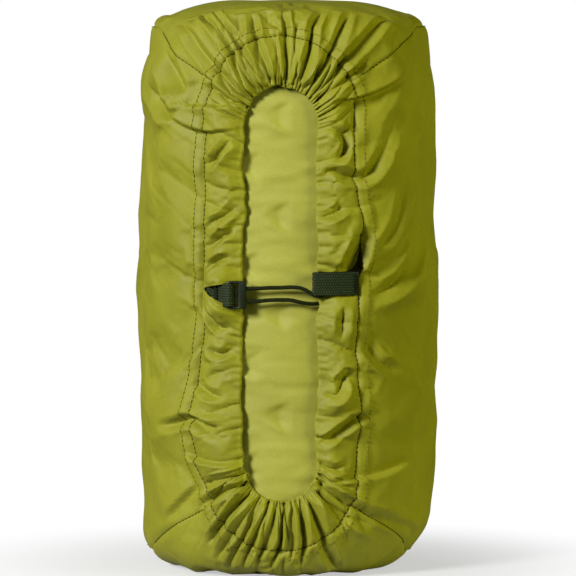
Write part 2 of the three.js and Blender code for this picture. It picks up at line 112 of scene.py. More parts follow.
TAB_LOW, TAB_HIGH = cad_box("webbing_tab_right")
STRAP_LOW, STRAP_HIGH = cad_box("webbing_strap_left")
TAB_Z = (TAB_LOW[2] + TAB_HIGH[2]) / 2
STRAP_Z = (STRAP_LOW[2] + STRAP_HIGH[2]) / 2
WEBBING_WIDTH = TAB_HIGH[2] - TAB_LOW[2]


def smooth(x, low, high):
    """0 before low, 1 after high, with a smooth step between."""
    t = np.clip((x - low) / (high - low), 0, 1)
    return t * t * (3 - 2 * t)


def bell(x, width):
    """A rounded bump: 1 at x = 0, and almost nothing two widths away."""
    return np.exp(-((x / width) ** 2))


# ---- Noise ---------------------------------------------------------------------------------------
# noise, noise_1d and creases take the size of their features in millimetres, and a seed.

def lattice(ix, iy, iz, seed):
    """A repeatable random number from -1 to 1 at each lattice point."""
    h = (ix * 374761393 + iy * 668265263 + iz * 1274126177 + seed * 974634777) & 0xFFFFFFFF
    h = ((h ^ (h >> 13)) * 1103515245) & 0xFFFFFFFF
    h = ((h ^ (h >> 16)) * 2246822519) & 0xFFFFFFFF
    return (h ^ (h >> 15)) / 0x7FFFFFFF - 1.0


def noise(points, scale, seed=0):
    """Smooth noise from about -1 to 1 over points (n, 3), with features of the given size."""
    p = np.asarray(points, float) / scale
    cell = np.floor(p).astype(np.int64)
    f = p - cell
    f = f * f * f * (f * (f * 6 - 15) + 10)
    total = 0.0
    for dx in (0, 1):
        wx = f[..., 0] if dx else 1 - f[..., 0]
        for dy in (0, 1):
            wy = f[..., 1] if dy else 1 - f[..., 1]
            for dz in (0, 1):
                wz = f[..., 2] if dz else 1 - f[..., 2]
                corner = lattice(cell[..., 0] + dx, cell[..., 1] + dy, cell[..., 2] + dz, seed)
                total = total + wx * wy * wz * corner
    return total


# Turns places off the sack's axes, so that no fold made from noise runs straight up or straight across.
TILT = np.array(Euler((0.62, 0.41, 0.87)).to_matrix())


def in_plane(u, v):
    """Places for noise that has two directions only."""
    return np.stack([u, v, 0 * u], -1)


def noise_1d(x, scale, seed=0):
    """Smooth noise along one direction."""
    x = np.asarray(x, float)
    return noise(in_plane(x, 0 * x), scale, seed)


def creases(points, scale, seed=0):
    """Sharp-edged ridges, as in crumpled cloth, with a mean near zero and a height of one."""
    return 0.25 - np.abs(noise(points, scale, seed))


# ---- The filled sack's surface -------------------------------------------------------------------

def skin(azimuth, length):
    """Point and outward normal at an azimuth (0 is -Y) and a length down from the top's centre."""
    azimuth, length = np.broadcast_arrays(np.asarray(azimuth, float), np.asarray(length, float))
    upper = length <= MERIDIAN / 2
    along = np.clip(np.where(upper, length, MERIDIAN - length), 0, None)
    turn = np.clip((along - FLAT) / END_ROUND, 0, math.pi / 2)
    radius = np.where(along > FLAT, FLAT + END_ROUND * np.sin(turn), along)
    drop = END_ROUND * (1 - np.cos(turn)) + np.clip(along - FLAT - QUARTER, 0, None)
    z = np.where(upper, HEIGHT - drop, drop)
    point = np.stack([radius * np.sin(azimuth), -radius * np.cos(azimuth), z], -1)
    up = np.cos(turn) * np.where(upper, 1, -1)
    side = np.sin(turn)
    normal = np.stack([side * np.sin(azimuth), -side * np.cos(azimuth), up], -1)
    return point, normal


ARC_LENGTH = math.pi / 2 * SEAM_HALF_WIDTH
PATH_END = SEAM_STRAIGHT + ARC_LENGTH
# The map's x is the true one up to this azimuth, and grows in proportion to the azimuth beyond it.
FLAT_MAP_LIMIT = math.radians(30)
# Radius at an end's rim, the length over which the sack fills out to its full radius, and how abruptly.
TOP_END = (77.0, 20.7, 0.55)
BASE_END = (66.0, 12.3, 0.7)


def end_pull(z):
    """How far the filled sack draws in from the CAD profile towards each end, in millimetres."""
    from_end = np.clip(np.minimum(z, HEIGHT - z), 0, None)
    turn = np.clip(1 - from_end / END_ROUND, 0, 1)
    full = FLAT + END_ROUND * np.sqrt(1 - turn**2)
    rim, reach, power = (np.where(z > MID, top, base) for top, base in zip(TOP_END, BASE_END))
    narrowing = (RADIUS - rim) * np.exp(-((from_end / reach) ** power)) * (1 - smooth(from_end, 70, MID))
    return full - RADIUS + narrowing


DOME_RISE = 2.0
DOME_DROP = 9.0
DOME_CROWN = 34.0
DOME_DEPTH = 22.0
BASE_LEAN = 4.5
BASE_BULGE = 3.4


def dome_drop(base):
    """How far the top end slopes down to its rim, in millimetres: less at the front, over the gathers."""
    radius = np.hypot(base[..., 0], base[..., 1])
    out = np.clip((radius - DOME_CROWN) / (FLAT - DOME_CROWN), 0, 1)
    front = np.clip(-base[..., 1] / np.maximum(radius, 1.0), 0, 1)
    slope = DOME_DROP * (1 - 0.5 * front**2) * out**2 - DOME_RISE
    return slope * (1 - smooth(HEIGHT - base[..., 2], 0, DOME_DEPTH))


def map_from_skin(azimuth, length):
    """Flat map (x, w) of a place on the skin: x is across the front and w is up from the middle."""
    inner = np.clip(azimuth, -FLAT_MAP_LIMIT, FLAT_MAP_LIMIT)
    x = RADIUS * (np.sin(inner) + math.cos(FLAT_MAP_LIMIT) * (azimuth - inner))
    return x, MERIDIAN / 2 - length


def skin_from_map(x, w):
    """Azimuth and length of a place on the flat map: the reverse of map_from_skin."""
    inner = RADIUS * math.sin(FLAT_MAP_LIMIT)
    near = np.clip(x, -inner, inner)
    azimuth = np.arcsin(near / RADIUS) + (x - near) / (RADIUS * math.cos(FLAT_MAP_LIMIT))
    return azimuth, MERIDIAN / 2 - w


def beside_seam(side, path, rho):
    """Flat map of the place at this path and distance: the reverse of seam_coordinates."""
    path, rho = np.broadcast_arrays(np.asarray(path, float), np.asarray(rho, float))
    angle = np.clip(np.abs(path) - SEAM_STRAIGHT, 0, None) / SEAM_HALF_WIDTH
    x = side * rho * np.cos(angle)
    w = np.where(angle > 0, np.sign(path) * (SEAM_STRAIGHT + rho * np.sin(angle)), path)
    return x, w


def seam_coordinates(x, w):
    """(path, rho): place along the collar seam on this side, and distance from the mouth's centre line."""
    above = np.clip(np.abs(w) - SEAM_STRAIGHT, 0, None)
    rho = np.hypot(x, above)
    angle = np.arctan2(above, np.abs(x))
    path = np.sign(w) * np.where(above > 0, SEAM_STRAIGHT + SEAM_HALF_WIDTH * angle, np.abs(w))
    return path, rho


# ---- Folds ---------------------------------------------------------------------------------------
# Each fold is (depth, width, points) on the front as seen, x across and w up from the mouth's middle.
# A valley is a pinched crease between two rounded ridges. A lap is a step: cloth on the left of its
# line, looking along it, lies over the cloth on the right. A swell is a soft rounded ridge.

VALLEYS = [
    # top arc, left to right
    (1.6, 3.0, [(-21, 118), (-42, 128), (-52, 131)]),
    (2.6, 3.4, [(-20, 122), (-38, 138), (-52, 150), (-68, 168), (-76, 180)]),
    (3.0, 3.2, [(-14, 127), (-27, 146), (-43, 166), (-56, 180), (-66, 196)]),
    (1.4, 2.4, [(-11, 130), (-19, 141), (-27, 152)]),
    (2.6, 3.0, [(-8, 132), (-20, 148), (-32, 162), (-46, 178), (-54, 192)]),
    (2.8, 3.0, [(-5, 132), (-12, 150), (-17, 163), (-20, 176), (-24, 188)]),
    (1.5, 2.4, [(1, 131), (-1, 142), (-3, 152)]),
    (3.2, 3.4, [(5, 131), (4, 150), (3, 166), (2, 180), (1, 192)]),
    (1.4, 2.2, [(9, 132), (11, 142), (13, 152)]),
    (3.2, 3.2, [(12, 132), (19, 152), (22, 168), (27, 180), (33, 192)]),
    (1.5, 2.2, [(16, 130), (24, 142), (31, 152)]),
    (3.0, 3.2, [(18, 129), (32, 150), (40, 164), (47, 178), (54, 190)]),
    (3.6, 3.6, [(21, 125), (40, 146), (56, 160), (70, 175), (80, 184)]),
    (2.4, 2.8, [(22, 121), (38, 134), (50, 142), (57, 150)]),
    # bottom arc, left to right
    (2.0, 2.8, [(-23, -114), (-38, -118), (-50, -122)]),
    (3.0, 3.2, [(-22, -120), (-36, -126), (-46, -132), (-58, -140)]),
    (3.2, 3.2, [(-19, -126), (-32, -140), (-42, -154), (-48, -160)]),
    (2.6, 2.8, [(-15, -129), (-25, -145), (-35, -160), (-42, -172)]),
    (3.0, 3.0, [(-11, -130), (-22, -150), (-30, -168), (-34, -180)]),
    (2.4, 2.6, [(-7, -131), (-14, -150), (-20, -166), (-23, -178)]),
    (2.8, 2.8, [(-2, -131), (-7, -150), (-11, -166), (-13, -178)]),
    (2.6, 2.8, [(3, -131), (0, -150), (-1, -166), (-3, -178)]),
    (2.2, 2.6, [(8, -130), (8, -148), (10, -162), (11, -172)]),
    (3.0, 3.0, [(13, -130), (15, -148), (17, -162), (19, -174)]),
    (3.4, 3.2, [(18, -129), (24, -145), (32, -160), (42, -172), (50, -182)]),
    (3.8, 4.2, [(23, -124), (38, -138), (54, -146), (72, -156)]),
    (3.8, 4.0, [(24, -118), (38, -131), (52, -139), (70, -146), (84, -152)]),
    (1.8, 2.6, [(24, -114), (36, -120), (48, -124)]),
    # left side
    (4.0, 5.0, [(-62, 127), (-72, 139), (-80, 154)]),
    (3.4, 5.0, [(-68, 110), (-77, 118), (-89, 134)]),
    (2.0, 4.5, [(-64, 112), (-72, 117), (-80, 126)]),
    (2.2, 3.2, [(-30, 99), (-36, 92), (-41, 84), (-52, 81)]),
    (1.5, 3.0, [(-29, 56), (-38, 48), (-47, 44)]),
    (1.7, 3.0, [(-28, 40), (-36, 37), (-46, 28)]),
    (1.5, 2.6, [(-29, 24), (-38, 21), (-47, 15)]),
    (1.8, 2.8, [(-48, -4), (-42, -16), (-36, -22), (-27, -20)]),
    (1.5, 3.2, [(-49, -56), (-40, -63), (-30, -66)]),
    (1.4, 3.0, [(-48, -78), (-40, -84), (-30, -84)]),
    (2.4, 3.4, [(-76, -88), (-60, -85), (-50, -82), (-40, -87), (-28, -96)]),
    (1.4, 2.8, [(-44, -34), (-36, -38), (-28, -34)]),
    # right side
    (2.2, 4.0, [(26, 72), (34, 78), (46, 74), (56, 75), (66, 92), (72, 116)]),
    (1.8, 3.4, [(27, 106), (36, 104), (42, 98), (40, 88), (32, 84)]),
    (1.7, 3.2, [(25, 48), (34, 52), (40, 58)]),
    (2.4, 5.0, [(52, -2), (68, 4), (80, 20), (92, 50)]),
    (1.5, 4.0, [(52, 24), (66, 40), (76, 62), (84, 92)]),
    (1.6, 3.8, [(27, -60), (34, -64), (40, -52), (48, -54)]),
    (2.2, 3.2, [(25, -96), (34, -90), (46, -80), (58, -78)]),
    (1.8, 3.0, [(25, -106), (33, -111), (44, -108)]),
    (1.4, 3.4, [(38, -6), (39, -18), (38, -30)]),
    (4.2, 4.6, [(40, 10), (43, 20), (46, 31), (50, 46)]),
    (1.4, 4.0, [(54, -30), (62, -44), (74, -52)]),
]
LAPS = [
    (2.8, 10.0, [(-86, 130), (-70, 113), (-50, 103), (-22, 106)]),
    (2.0, 7.0, [(-24, 119), (-48, 119), (-74, 118)]),
    (2.6, 10.0, [(24, 122), (42, 123), (50, 124), (68, 131), (88, 148)]),
    (2.6, 11.0, [(84, -108), (74, -112), (62, -116), (46, -118), (23, -121)]),
    (2.6, 8.0, [(-24, -104), (-34, -108), (-47, -106), (-56, -102)]),
    (2.0, 8.0, [(-80, -149), (-66, -134), (-50, -118)]),
    (1.6, 6.0, [(70, -146), (84, -150), (90, -158)]),
]
SWELLS = [
    (2.0, 9.0, [(-84, 96), (-70, 88), (-58, 80), (-48, 78)]),
    (1.4, 7.0, [(-86, 46), (-76, 66), (-62, 80)]),
    (1.5, 8.0, [(-84, -104), (-70, -94), (-54, -88)]),
    (1.8, 8.0, [(50, 66), (62, 74), (72, 96), (80, 120)]),
    (1.6, 7.0, [(54, 30), (70, 44), (82, 66), (90, 90)]),
    (2.2, 8.0, [(52, -12), (70, -4), (84, 8), (94, 26)]),
    (1.4, 7.0, [(52, -50), (62, -44), (72, -36)]),
    (2.2, 6.0, [(26, -80), (34, -70), (44, -58)]),
    (1.6, 5.0, [(28, 14), (30, 34), (29, 52)]),
    (1.3, 7.0, [(60, 100), (70, 118), (88, 142)]),
    (1.8, 7.0, [(-90, 116), (-82, 136), (-72, 156)]),
    (2.4, 11.0, [(-99, 110), (-97, 130), (-95, 150)]),
    (1.6, 8.0, [(-60, 96), (-70, 116), (-60, 140)]),
    (1.5, 9.0, [(-88, -40), (-74, -52), (-56, -58)]),
    (1.5, 9.0, [(90, -60), (78, -76), (60, -92)]),
]
FOLD_SAMPLES = 8
# Depth of the folds above for each unit in the tables, and the slope of the long folds on the body.
FOLD_DEPTH = 1.7
FOLD_SLOPE = math.radians(52)
# How far the cloth may sink into the sack's surface.
SINK_LIMIT = 4.6


def curve_through(points, per_span):
    """Samples of a smooth curve through a few points."""
    p = np.array(points, float)
    p = np.vstack([2 * p[0] - p[1], p, 2 * p[-1] - p[-2]])
    t = np.linspace(0, 1, per_span, endpoint=False)[:, None]
    spans = []
    for a, b, c, d in zip(p[:-3], p[1:-2], p[2:-1], p[3:]):
        place = 2 * b + (c - a) * t
        place = place + (2 * a - 5 * b + 4 * c - d) * t**2
        place = place + (3 * b - 3 * c + d - a) * t**3
        spans.append(0.5 * place)
    return np.vstack(spans + [p[-2][None]])


def near_curve(x, w, points, reach):
    """For the places within reach of a curve: which they are, signed distance and share along it."""
    line = curve_through(points, FOLD_SAMPLES)
    low, high = line.min(0) - reach, line.max(0) + reach
    near = np.nonzero((x > low[0]) & (x < high[0]) & (w > low[1]) & (w < high[1]))[0]
    if not len(near):
        return near, None, None
    start, step = line[:-1], np.diff(line, axis=0)
    dx = x[near, None] - start[:, 0]
    dw = w[near, None] - start[:, 1]
    share = np.clip((dx * step[:, 0] + dw * step[:, 1]) / (step**2).sum(1), 0, 1)
    ox = dx - share * step[:, 0]
    ow = dw - share * step[:, 1]
    distance = np.hypot(ox, ow)
    best = distance.argmin(1)
    rows = np.arange(len(near))
    side = np.sign(step[best, 0] * dw[rows, best] - step[best, 1] * dx[rows, best])
    along = (best + share[rows, best]) / len(step)
    return near, side * distance[rows, best], along


def folds_near(x, w, folds, reach):
    """Each fold's depth and width, the places near it, and their signed distance and share along it."""
    for depth, width, points in folds:
        near, d, along = near_curve(x, w, points, width * reach)
        if len(near):
            yield depth, width, near, d, along


def add_folds(height, x, w):
    """Adds the valleys, laps and swells that are listed above."""
    for depth, width, near, d, along in folds_near(x, w, VALLEYS, 4):
        beside = 1 - smooth(np.abs(w[near]), 95, 118)
        taper = smooth(along, 0, 0.06 + 0.24 * beside) * (1 - smooth(along, 0.6, 1.0))
        shoulder = np.exp(-np.abs(np.abs(d) - 1.5 * width) / (0.9 * width))
        shape = 0.6 * shoulder - np.exp(-np.abs(d) / (0.55 * width))
        height[near] += FOLD_DEPTH * (0.7 + 0.8 * depth) * (1 + 0.35 * beside) * taper * shape
    for depth, width, near, d, along in folds_near(x, w, LAPS, 3):
        taper = smooth(along, 0, 0.35) * (1 - smooth(along, 0.7, 1.0))
        over = smooth(d, -1.2, 1.6) * np.exp(-np.clip(d, 0, None) / width)
        under = -0.7 * (1 - smooth(d, -1.8, 0.6)) * np.exp(np.clip(d, None, 0) / (0.5 * width))
        height[near] += FOLD_DEPTH * depth * taper * (over + under)
    for depth, width, near, d, along in folds_near(x, w, SWELLS, 3):
        taper = np.sin(math.pi * np.clip(along, 0, 1)) ** 0.7
        height[near] += FOLD_DEPTH * depth * taper * bell(d, width)
    return height


def gathers(path, pitch_side, pitch_end, seed):
    """Phase of a run of gathers along the collar: one whole number for each gather.

    A gather is about pitch_side wide along the mouth's straight sides, and pitch_end round its ends.
    """
    table = np.linspace(-PATH_END, PATH_END, 2400)
    on_end = smooth(np.abs(table), SEAM_STRAIGHT - 12, SEAM_STRAIGHT + 12)
    pitch = pitch_side * (1 - on_end) + pitch_end * on_end
    pitch = pitch * (1 + 0.45 * noise_1d(table, 14, seed))
    steps = np.diff(table, prepend=table[0]) / pitch
    return np.interp(path, table, np.cumsum(steps))


def pinch(phase, sharpness=0.75):
    """Rounded ridges with sharp valleys between them, with a mean near zero."""
    skewed = phase + 0.12 * np.sin(2 * math.pi * phase)
    return np.abs(np.sin(math.pi * skewed)) ** sharpness - 0.62


def by_gather(phase, seed, low, high):
    """One random number for each gather."""
    whole = np.floor(phase).astype(np.int64)
    zero = np.zeros_like(whole)
    return low + (high - low) * (lattice(whole, zero, zero, seed) * 0.5 + 0.5)


def edge_length(azimuth):
    """Length down the meridian at which the top end panel meets the wrap panel."""
    turn = np.abs(azimuth)
    mitre = MITRE_END + (END_SEAM - MITRE_END) * (turn - MITRE_FRONT) / (MITRE_REAR - MITRE_FRONT)
    return np.where(turn < MITRE_REAR, np.minimum(mitre, MITRE_END + 20), END_SEAM)


def drawn_out(point):
    """Places for creases that are longer up the sack than round it."""
    return (point * np.array([1.0, 1.0, 0.45])) @ TILT


def crumple(point, rho, on_end):
    """Soft hollows all over the cover, with finer creases on the collar."""
    turned = point @ TILT
    on_collar = 1 - smooth(rho, SEAM_HALF_WIDTH + 2, SEAM_HALF_WIDTH + 16)
    height = 1.5 * noise(turned, 62, 3) + 0.9 * noise(turned, 31, 4)
    height += (0.25 + 0.35 * on_collar) * creases(drawn_out(point), 21, 5)
    height += (0.12 + 0.4 * on_collar * on_end) * creases(turned, 9.5, 6)
    return height


def climbing_folds(around, w):
    """Long soft folds that climb to the right across the body of the wrap."""
    uphill = around * math.cos(FOLD_SLOPE) + w * math.sin(FOLD_SLOPE)
    across = w * math.cos(FOLD_SLOPE) - around * math.sin(FOLD_SLOPE)
    soft = noise(in_plane(across, 0.3 * uphill), 18, 8)
    crisp = creases(in_plane(across, 0.35 * uphill), 32, 9)
    return 0.9 * soft + 1.7 * crisp


def hem_gathers(path, rho, right, on_end):
    """Fine gathers at the hem, which die out before the seam."""
    phase = gathers(path, 5.0, 4.6, 11) + np.where(right, 0.37, 0.0)
    fade = 1 - smooth(rho, MOUTH_HALF_WIDTH + 1, MOUTH_HALF_WIDTH + 8 + 12 * on_end)
    return (0.5 + 1.1 * on_end) * fade * by_gather(phase, 12, 0.4, 1.2) * pinch(phase)


def wide_gathers(path, side_path, rho, right, on_end):
    """Wider gathers that run on past the seam, and turn towards the sack's length as they go."""
    from_crest = PATH_END - np.abs(path)
    closing = 1 - 0.3 * smooth(rho, MOUTH_HALF_WIDTH, 95)
    turned = (1 / closing - 1) * np.minimum(from_crest, ARC_LENGTH) * smooth(np.abs(path), 0, 70)
    source = np.sign(path) * (np.abs(path) - turned)
    slant = (rho - MOUTH_HALF_WIDTH) * 0.5 * noise_1d(side_path, 45, 14) * (1 - on_end)
    wander = 2.0 * noise(in_plane(path, rho), 22, 24)
    phase = gathers(source + slant + wander, 22.0, 10.5, 13) + np.where(right, 0.5, 0.0)
    reach = by_gather(phase, 15, 42, 96)
    fade = 1 - smooth(rho, reach * 0.6, reach + 12)
    fade = fade * (0.4 + 0.6 * (1 - smooth(rho, 34, 66)))
    return (2.1 + 0.9 * on_end) * fade * by_gather(phase, 16, 0.45, 1.25) * pinch(phase, 0.8)


def collar_puff(side_path, rho, on_end):
    """The collar puffs out between the hem and the seam, most of all at its sides, and dips at the hem."""
    share = np.clip((rho - MOUTH_HALF_WIDTH) / SEAM_RANGE, 0, 1)
    billow = 2.4 + 3.6 * noise_1d(side_path, 26, 17)
    puff = ((1 - on_end) * billow + on_end * 1.6) * np.sin(math.pi * share)
    return puff - 2.2 * (1 - smooth(share, 0, 0.45)) * (rho < SEAM_HALF_WIDTH)


def seam_relief(path, rho, right):
    """Puckers along the collar seam, with the seam's own allowance and groove."""
    off_seam = rho - SEAM_HALF_WIDTH
    phase = gathers(path, 5.2, 6.4, 19) + np.where(right, 0.2, 0.0)
    band = bell(off_seam - 4.0, 7.5) * (0.65 + 0.5 * noise_1d(path, 30, 20))
    allowance = smooth(off_seam, 0, 1.2) * (1 - smooth(off_seam, 6.2, 8.2))
    pucker = 0.75 * band * pinch(phase + 0.05 * off_seam)
    return pucker + 0.45 * allowance - 1.0 * bell(off_seam, 1.15)


def loose_cover(azimuth, around, point, off_edge):
    """Away from the mouth the cover is looser: it creases a little, and puckers along the end seams."""
    loose = smooth(np.abs(azimuth), math.radians(58), math.radians(95))
    crease = 2.6 * creases(drawn_out(point), 38, 41) + 1.5 * creases(drawn_out(point), 17, 42)
    band = bell(off_edge - 5.0, 6.5) * (0.7 + 0.5 * noise_1d(around, 40, 43))
    return loose * (crease + band * pinch(around / 8.5 + 0.9 * noise_1d(around, 24, 44)))


def fold_height(azimuth, length, path, rho):
    """How far the cloth stands off the filled sack's surface, in millimetres."""
    shape = azimuth.shape
    azimuth, length, path, rho = (np.ravel(a) for a in (azimuth, length, path, rho))
    point, _ = skin(azimuth, length)
    _, w = map_from_skin(azimuth, length)
    around = RADIUS * azimuth
    right = azimuth > 0
    side_path = path + np.where(right, 1000.0, 0.0)
    from_pole = np.minimum(length, MERIDIAN - length)
    on_disc = smooth(-from_pole, -FLAT - 4, -FLAT + 10)
    on_end = smooth(np.abs(path), SEAM_STRAIGHT - 10, SEAM_STRAIGHT + 10)
    off_collar = smooth(rho, SEAM_HALF_WIDTH - 6, SEAM_HALF_WIDTH + 14) * (1 - on_disc)

    height = crumple(point, rho, on_end)
    height += off_collar * climbing_folds(around, w)
    height += hem_gathers(path, rho, right, on_end)
    height += wide_gathers(path, side_path, rho, right, on_end)
    height += collar_puff(side_path, rho, on_end)
    height += seam_relief(path, rho, right)

    # the listed folds are placed by their x as seen from the front, which grows again past the widest place
    beyond = np.clip(np.abs(azimuth) - math.pi / 2, 0, None)
    seen_x = RADIUS * np.sign(azimuth) * (np.sin(np.abs(azimuth) - beyond) + 1 - np.cos(beyond))
    height = add_folds(height, seen_x, w)

    # grooves of the mitre and end seams, and the loose cover round the back
    off_edge = np.abs(from_pole - edge_length(azimuth)) * 0.92
    height = np.where(rho > SEAM_HALF_WIDTH, height - 0.9 * bell(off_edge, 1.2), height)
    height += (1 - on_disc) * loose_cover(azimuth, around, point, off_edge)

    # the ends are nearly flat, and the base rests on the floor
    height *= 1 - 0.8 * on_disc
    height += 0.6 * on_disc * noise(point, 40, 23) * (length < MERIDIAN / 2)
    height = np.where(length > MERIDIAN - FLAT - QUARTER, np.minimum(height, 2.0), height)
    return soft_floor(height, -SINK_LIMIT).reshape(shape)


def soft_floor(height, floor):
    """Stops the cloth from sinking into the mat, with a rounded limit."""
    bend = -0.5 * floor
    deep = np.clip(-bend - height, 0, None)
    return np.where(deep > 0, -bend - bend * np.tanh(deep / bend), height)


def drift(path, rho, right):
    """Sideways shift away from the mouth, in millimetres: seams and hems aren't quite straight."""
    fade = 1 - smooth(rho, 70, 110)
    on_end = smooth(np.abs(path), SEAM_STRAIGHT - 6, SEAM_STRAIGHT + 16)
    share = np.clip((rho - MOUTH_HALF_WIDTH) / SEAM_RANGE, 0, 1)
    left_bow = 7.0 * bell(path + 88, 34) + 3.0 * bell(path + 46, 26)
    right_bow = 1.8 * np.sin(path / 19.0) - 1.5 * bell(path - 70, 20)
    wander = np.where(right, right_bow, left_bow) * share * (1 - on_end)
    ruffle = 1.5 * noise_1d(path + np.where(right, 700.0, 0.0), 17, 31)
    ruffle += 0.6 * noise_1d(path + np.where(right, 300.0, 0.0), 6, 32)
    return fade * (wander + (1 - share) * ruffle * (1 - 0.5 * on_end))


def draw_in(point, base):
    """Moves places towards the axis by the sack's narrowing at its ends, judged at their base on the skin."""
    radius = np.hypot(base[..., 0], base[..., 1])
    pull = end_pull(base[..., 2]) * np.minimum(radius / FLAT, 1.0) ** 2
    scale = 1 - pull / np.maximum(radius, 1.0)
    drawn = point * np.stack([scale, scale, np.ones_like(scale)], -1)
    drawn[..., 2] -= dome_drop(base)
    # the sack leans a little on its base, and bulges over its left edge
    low = base[..., 2]
    left = np.clip(-base[..., 0] / np.maximum(radius, 1.0), 0, 1)
    drawn[..., 0] -= BASE_LEAN * (1 - smooth(low, 6, 30)) + BASE_BULGE * left * bell(low - 24, 15)
    return drawn


# How far the simulated sheet moves, once it has been simulated.
SETTLED = {}


def drape(azimuth, length, path=None, rho=None, lift=0.0):
    """Places on the finished cloth, in millimetres, with the smooth surface's normals."""
    azimuth, length = np.broadcast_arrays(np.asarray(azimuth, float), np.asarray(length, float))
    if path is None:
        path, rho = seam_coordinates(*map_from_skin(azimuth, length))
    right = azimuth > 0
    height = fold_height(azimuth, length, path, rho)
    shift = drift(path, rho, right)
    x, w = map_from_skin(azimuth, length)
    above = np.sign(w) * np.clip(np.abs(w) - SEAM_STRAIGHT, 0, None)
    reach = np.maximum(np.hypot(x, above), 1.0)
    azimuth = azimuth + shift * (x / reach) / (RADIUS * np.maximum(np.cos(azimuth), 0.5))
    length = length - shift * (above / reach)
    base, normal = skin(azimuth, length)
    point = draw_in(base + normal * (height + np.asarray(lift))[..., None], base)
    if SETTLED:
        point = point + settled_shift(right, path, rho)
    point[..., 2] = np.maximum(point[..., 2], 0.0)
    return point, normal


# ---- Cloth simulation ----------------------------------------------------------------------------
# The cover round the mouth is a little larger than the sack it lies on. A sheet of it is simulated once,
# held at the hem and at its outer edge, and its movement is then read at any place on the cover.

SHEET_COLUMNS = 150
SHEET_ROWS = 43
SHEET_REACH = 130.0
SHEET_FADE = 38.0
SHEET_GROWTH = 0.05
SHEET_FRAMES = 14
SHEET_LIMIT = 6.0
FORM_COLUMNS = 96
FORM_ROWS = 120
CLOTH_CLEARANCE = 0.6 * MM
CLOTH_SETTINGS = {
    "quality": 4,
    "mass": 0.01,
    "air_damping": 2.0,
    "tension_stiffness": 20,
    "compression_stiffness": 20,
    "shear_stiffness": 8,
    "bending_stiffness": 0.3,
    "shrink_min": -SHEET_GROWTH,
    "shrink_max": 0.0,
}


def settled_shift(right, path, rho):
    """The sheet's movement at these places, read between its grid points."""
    shift = SETTLED["shift"]
    along = (path + PATH_END) / (2 * PATH_END) * SHEET_COLUMNS
    column = np.where(right, along, 2 * SHEET_COLUMNS - along) % (2 * SHEET_COLUMNS)
    out = (rho - MOUTH_HALF_WIDTH) / (SHEET_REACH - MOUTH_HALF_WIDTH)
    row = np.clip(out * (SHEET_ROWS - 1), 0, SHEET_ROWS - 1.001)
    c, r = np.floor(column).astype(int), np.floor(row).astype(int)
    fc, fr = (column - c)[..., None], (row - r)[..., None]
    c, after = c % (2 * SHEET_COLUMNS), (c + 1) % (2 * SHEET_COLUMNS)
    near = shift[r, c] * (1 - fc) + shift[r, after] * fc
    far = shift[r + 1, c] * (1 - fc) + shift[r + 1, after] * fc
    return near * (1 - fr) + far * fr


def add_group(obj, name, weights):
    """Adds a vertex group with a weight for each vertex."""
    group = obj.vertex_groups.new(name=name)
    for index, weight in enumerate(weights):
        group.add([index], float(weight), "REPLACE")
    return group.name


def sheet_start():
    """The sheet's places before it moves, and each row's distance from the mouth's centre line."""
    half = np.linspace(-PATH_END, PATH_END, SHEET_COLUMNS, endpoint=False)
    path = np.concatenate([half, -half])
    side = np.repeat([1.0, -1.0], SHEET_COLUMNS)
    rho = np.linspace(MOUTH_HALF_WIDTH, SHEET_REACH, SHEET_ROWS)[:, None]
    x, w = beside_seam(side[None], path[None], rho)
    azimuth, length = skin_from_map(x, w)
    start, _ = drape(azimuth, length, *np.broadcast_arrays(path[None], rho))
    return start, rho


def inner_form():
    """The filled sack, as far in as the cloth may sink, for the cloth to collide with."""
    turn = np.linspace(-math.pi, math.pi, FORM_COLUMNS, endpoint=False)
    along = np.linspace(2.0, MERIDIAN - 2.0, FORM_ROWS)[:, None]
    base, normal = skin(turn[None], along)
    places = draw_in(base - SINK_LIMIT * normal, base)
    form = make_mesh("form", places.reshape(-1, 3), grid_faces(FORM_ROWS, FORM_COLUMNS, closed=True))
    form.modifiers.new("Collision", "COLLISION")
    form.collision.thickness_outer = CLOTH_CLEARANCE
    return form


def add_cloth(sheet, held, steady):
    """Makes the sheet a cloth that grows wherever it isn't steady, and stays put where it is held."""
    cloth = sheet.modifiers.new("Cloth", "CLOTH")
    for key, value in CLOTH_SETTINGS.items():
        setattr(cloth.settings, key, value)
    cloth.settings.effector_weights.gravity = 0.0
    cloth.settings.vertex_group_mass = add_group(sheet, "held", held)
    cloth.settings.vertex_group_shrink = add_group(sheet, "steady", steady)
    cloth.collision_settings.use_self_collision = False
    cloth.collision_settings.collision_quality = 3
    cloth.collision_settings.distance_min = CLOTH_CLEARANCE
    cloth.point_cache.frame_start = 1
    cloth.point_cache.frame_end = SHEET_FRAMES


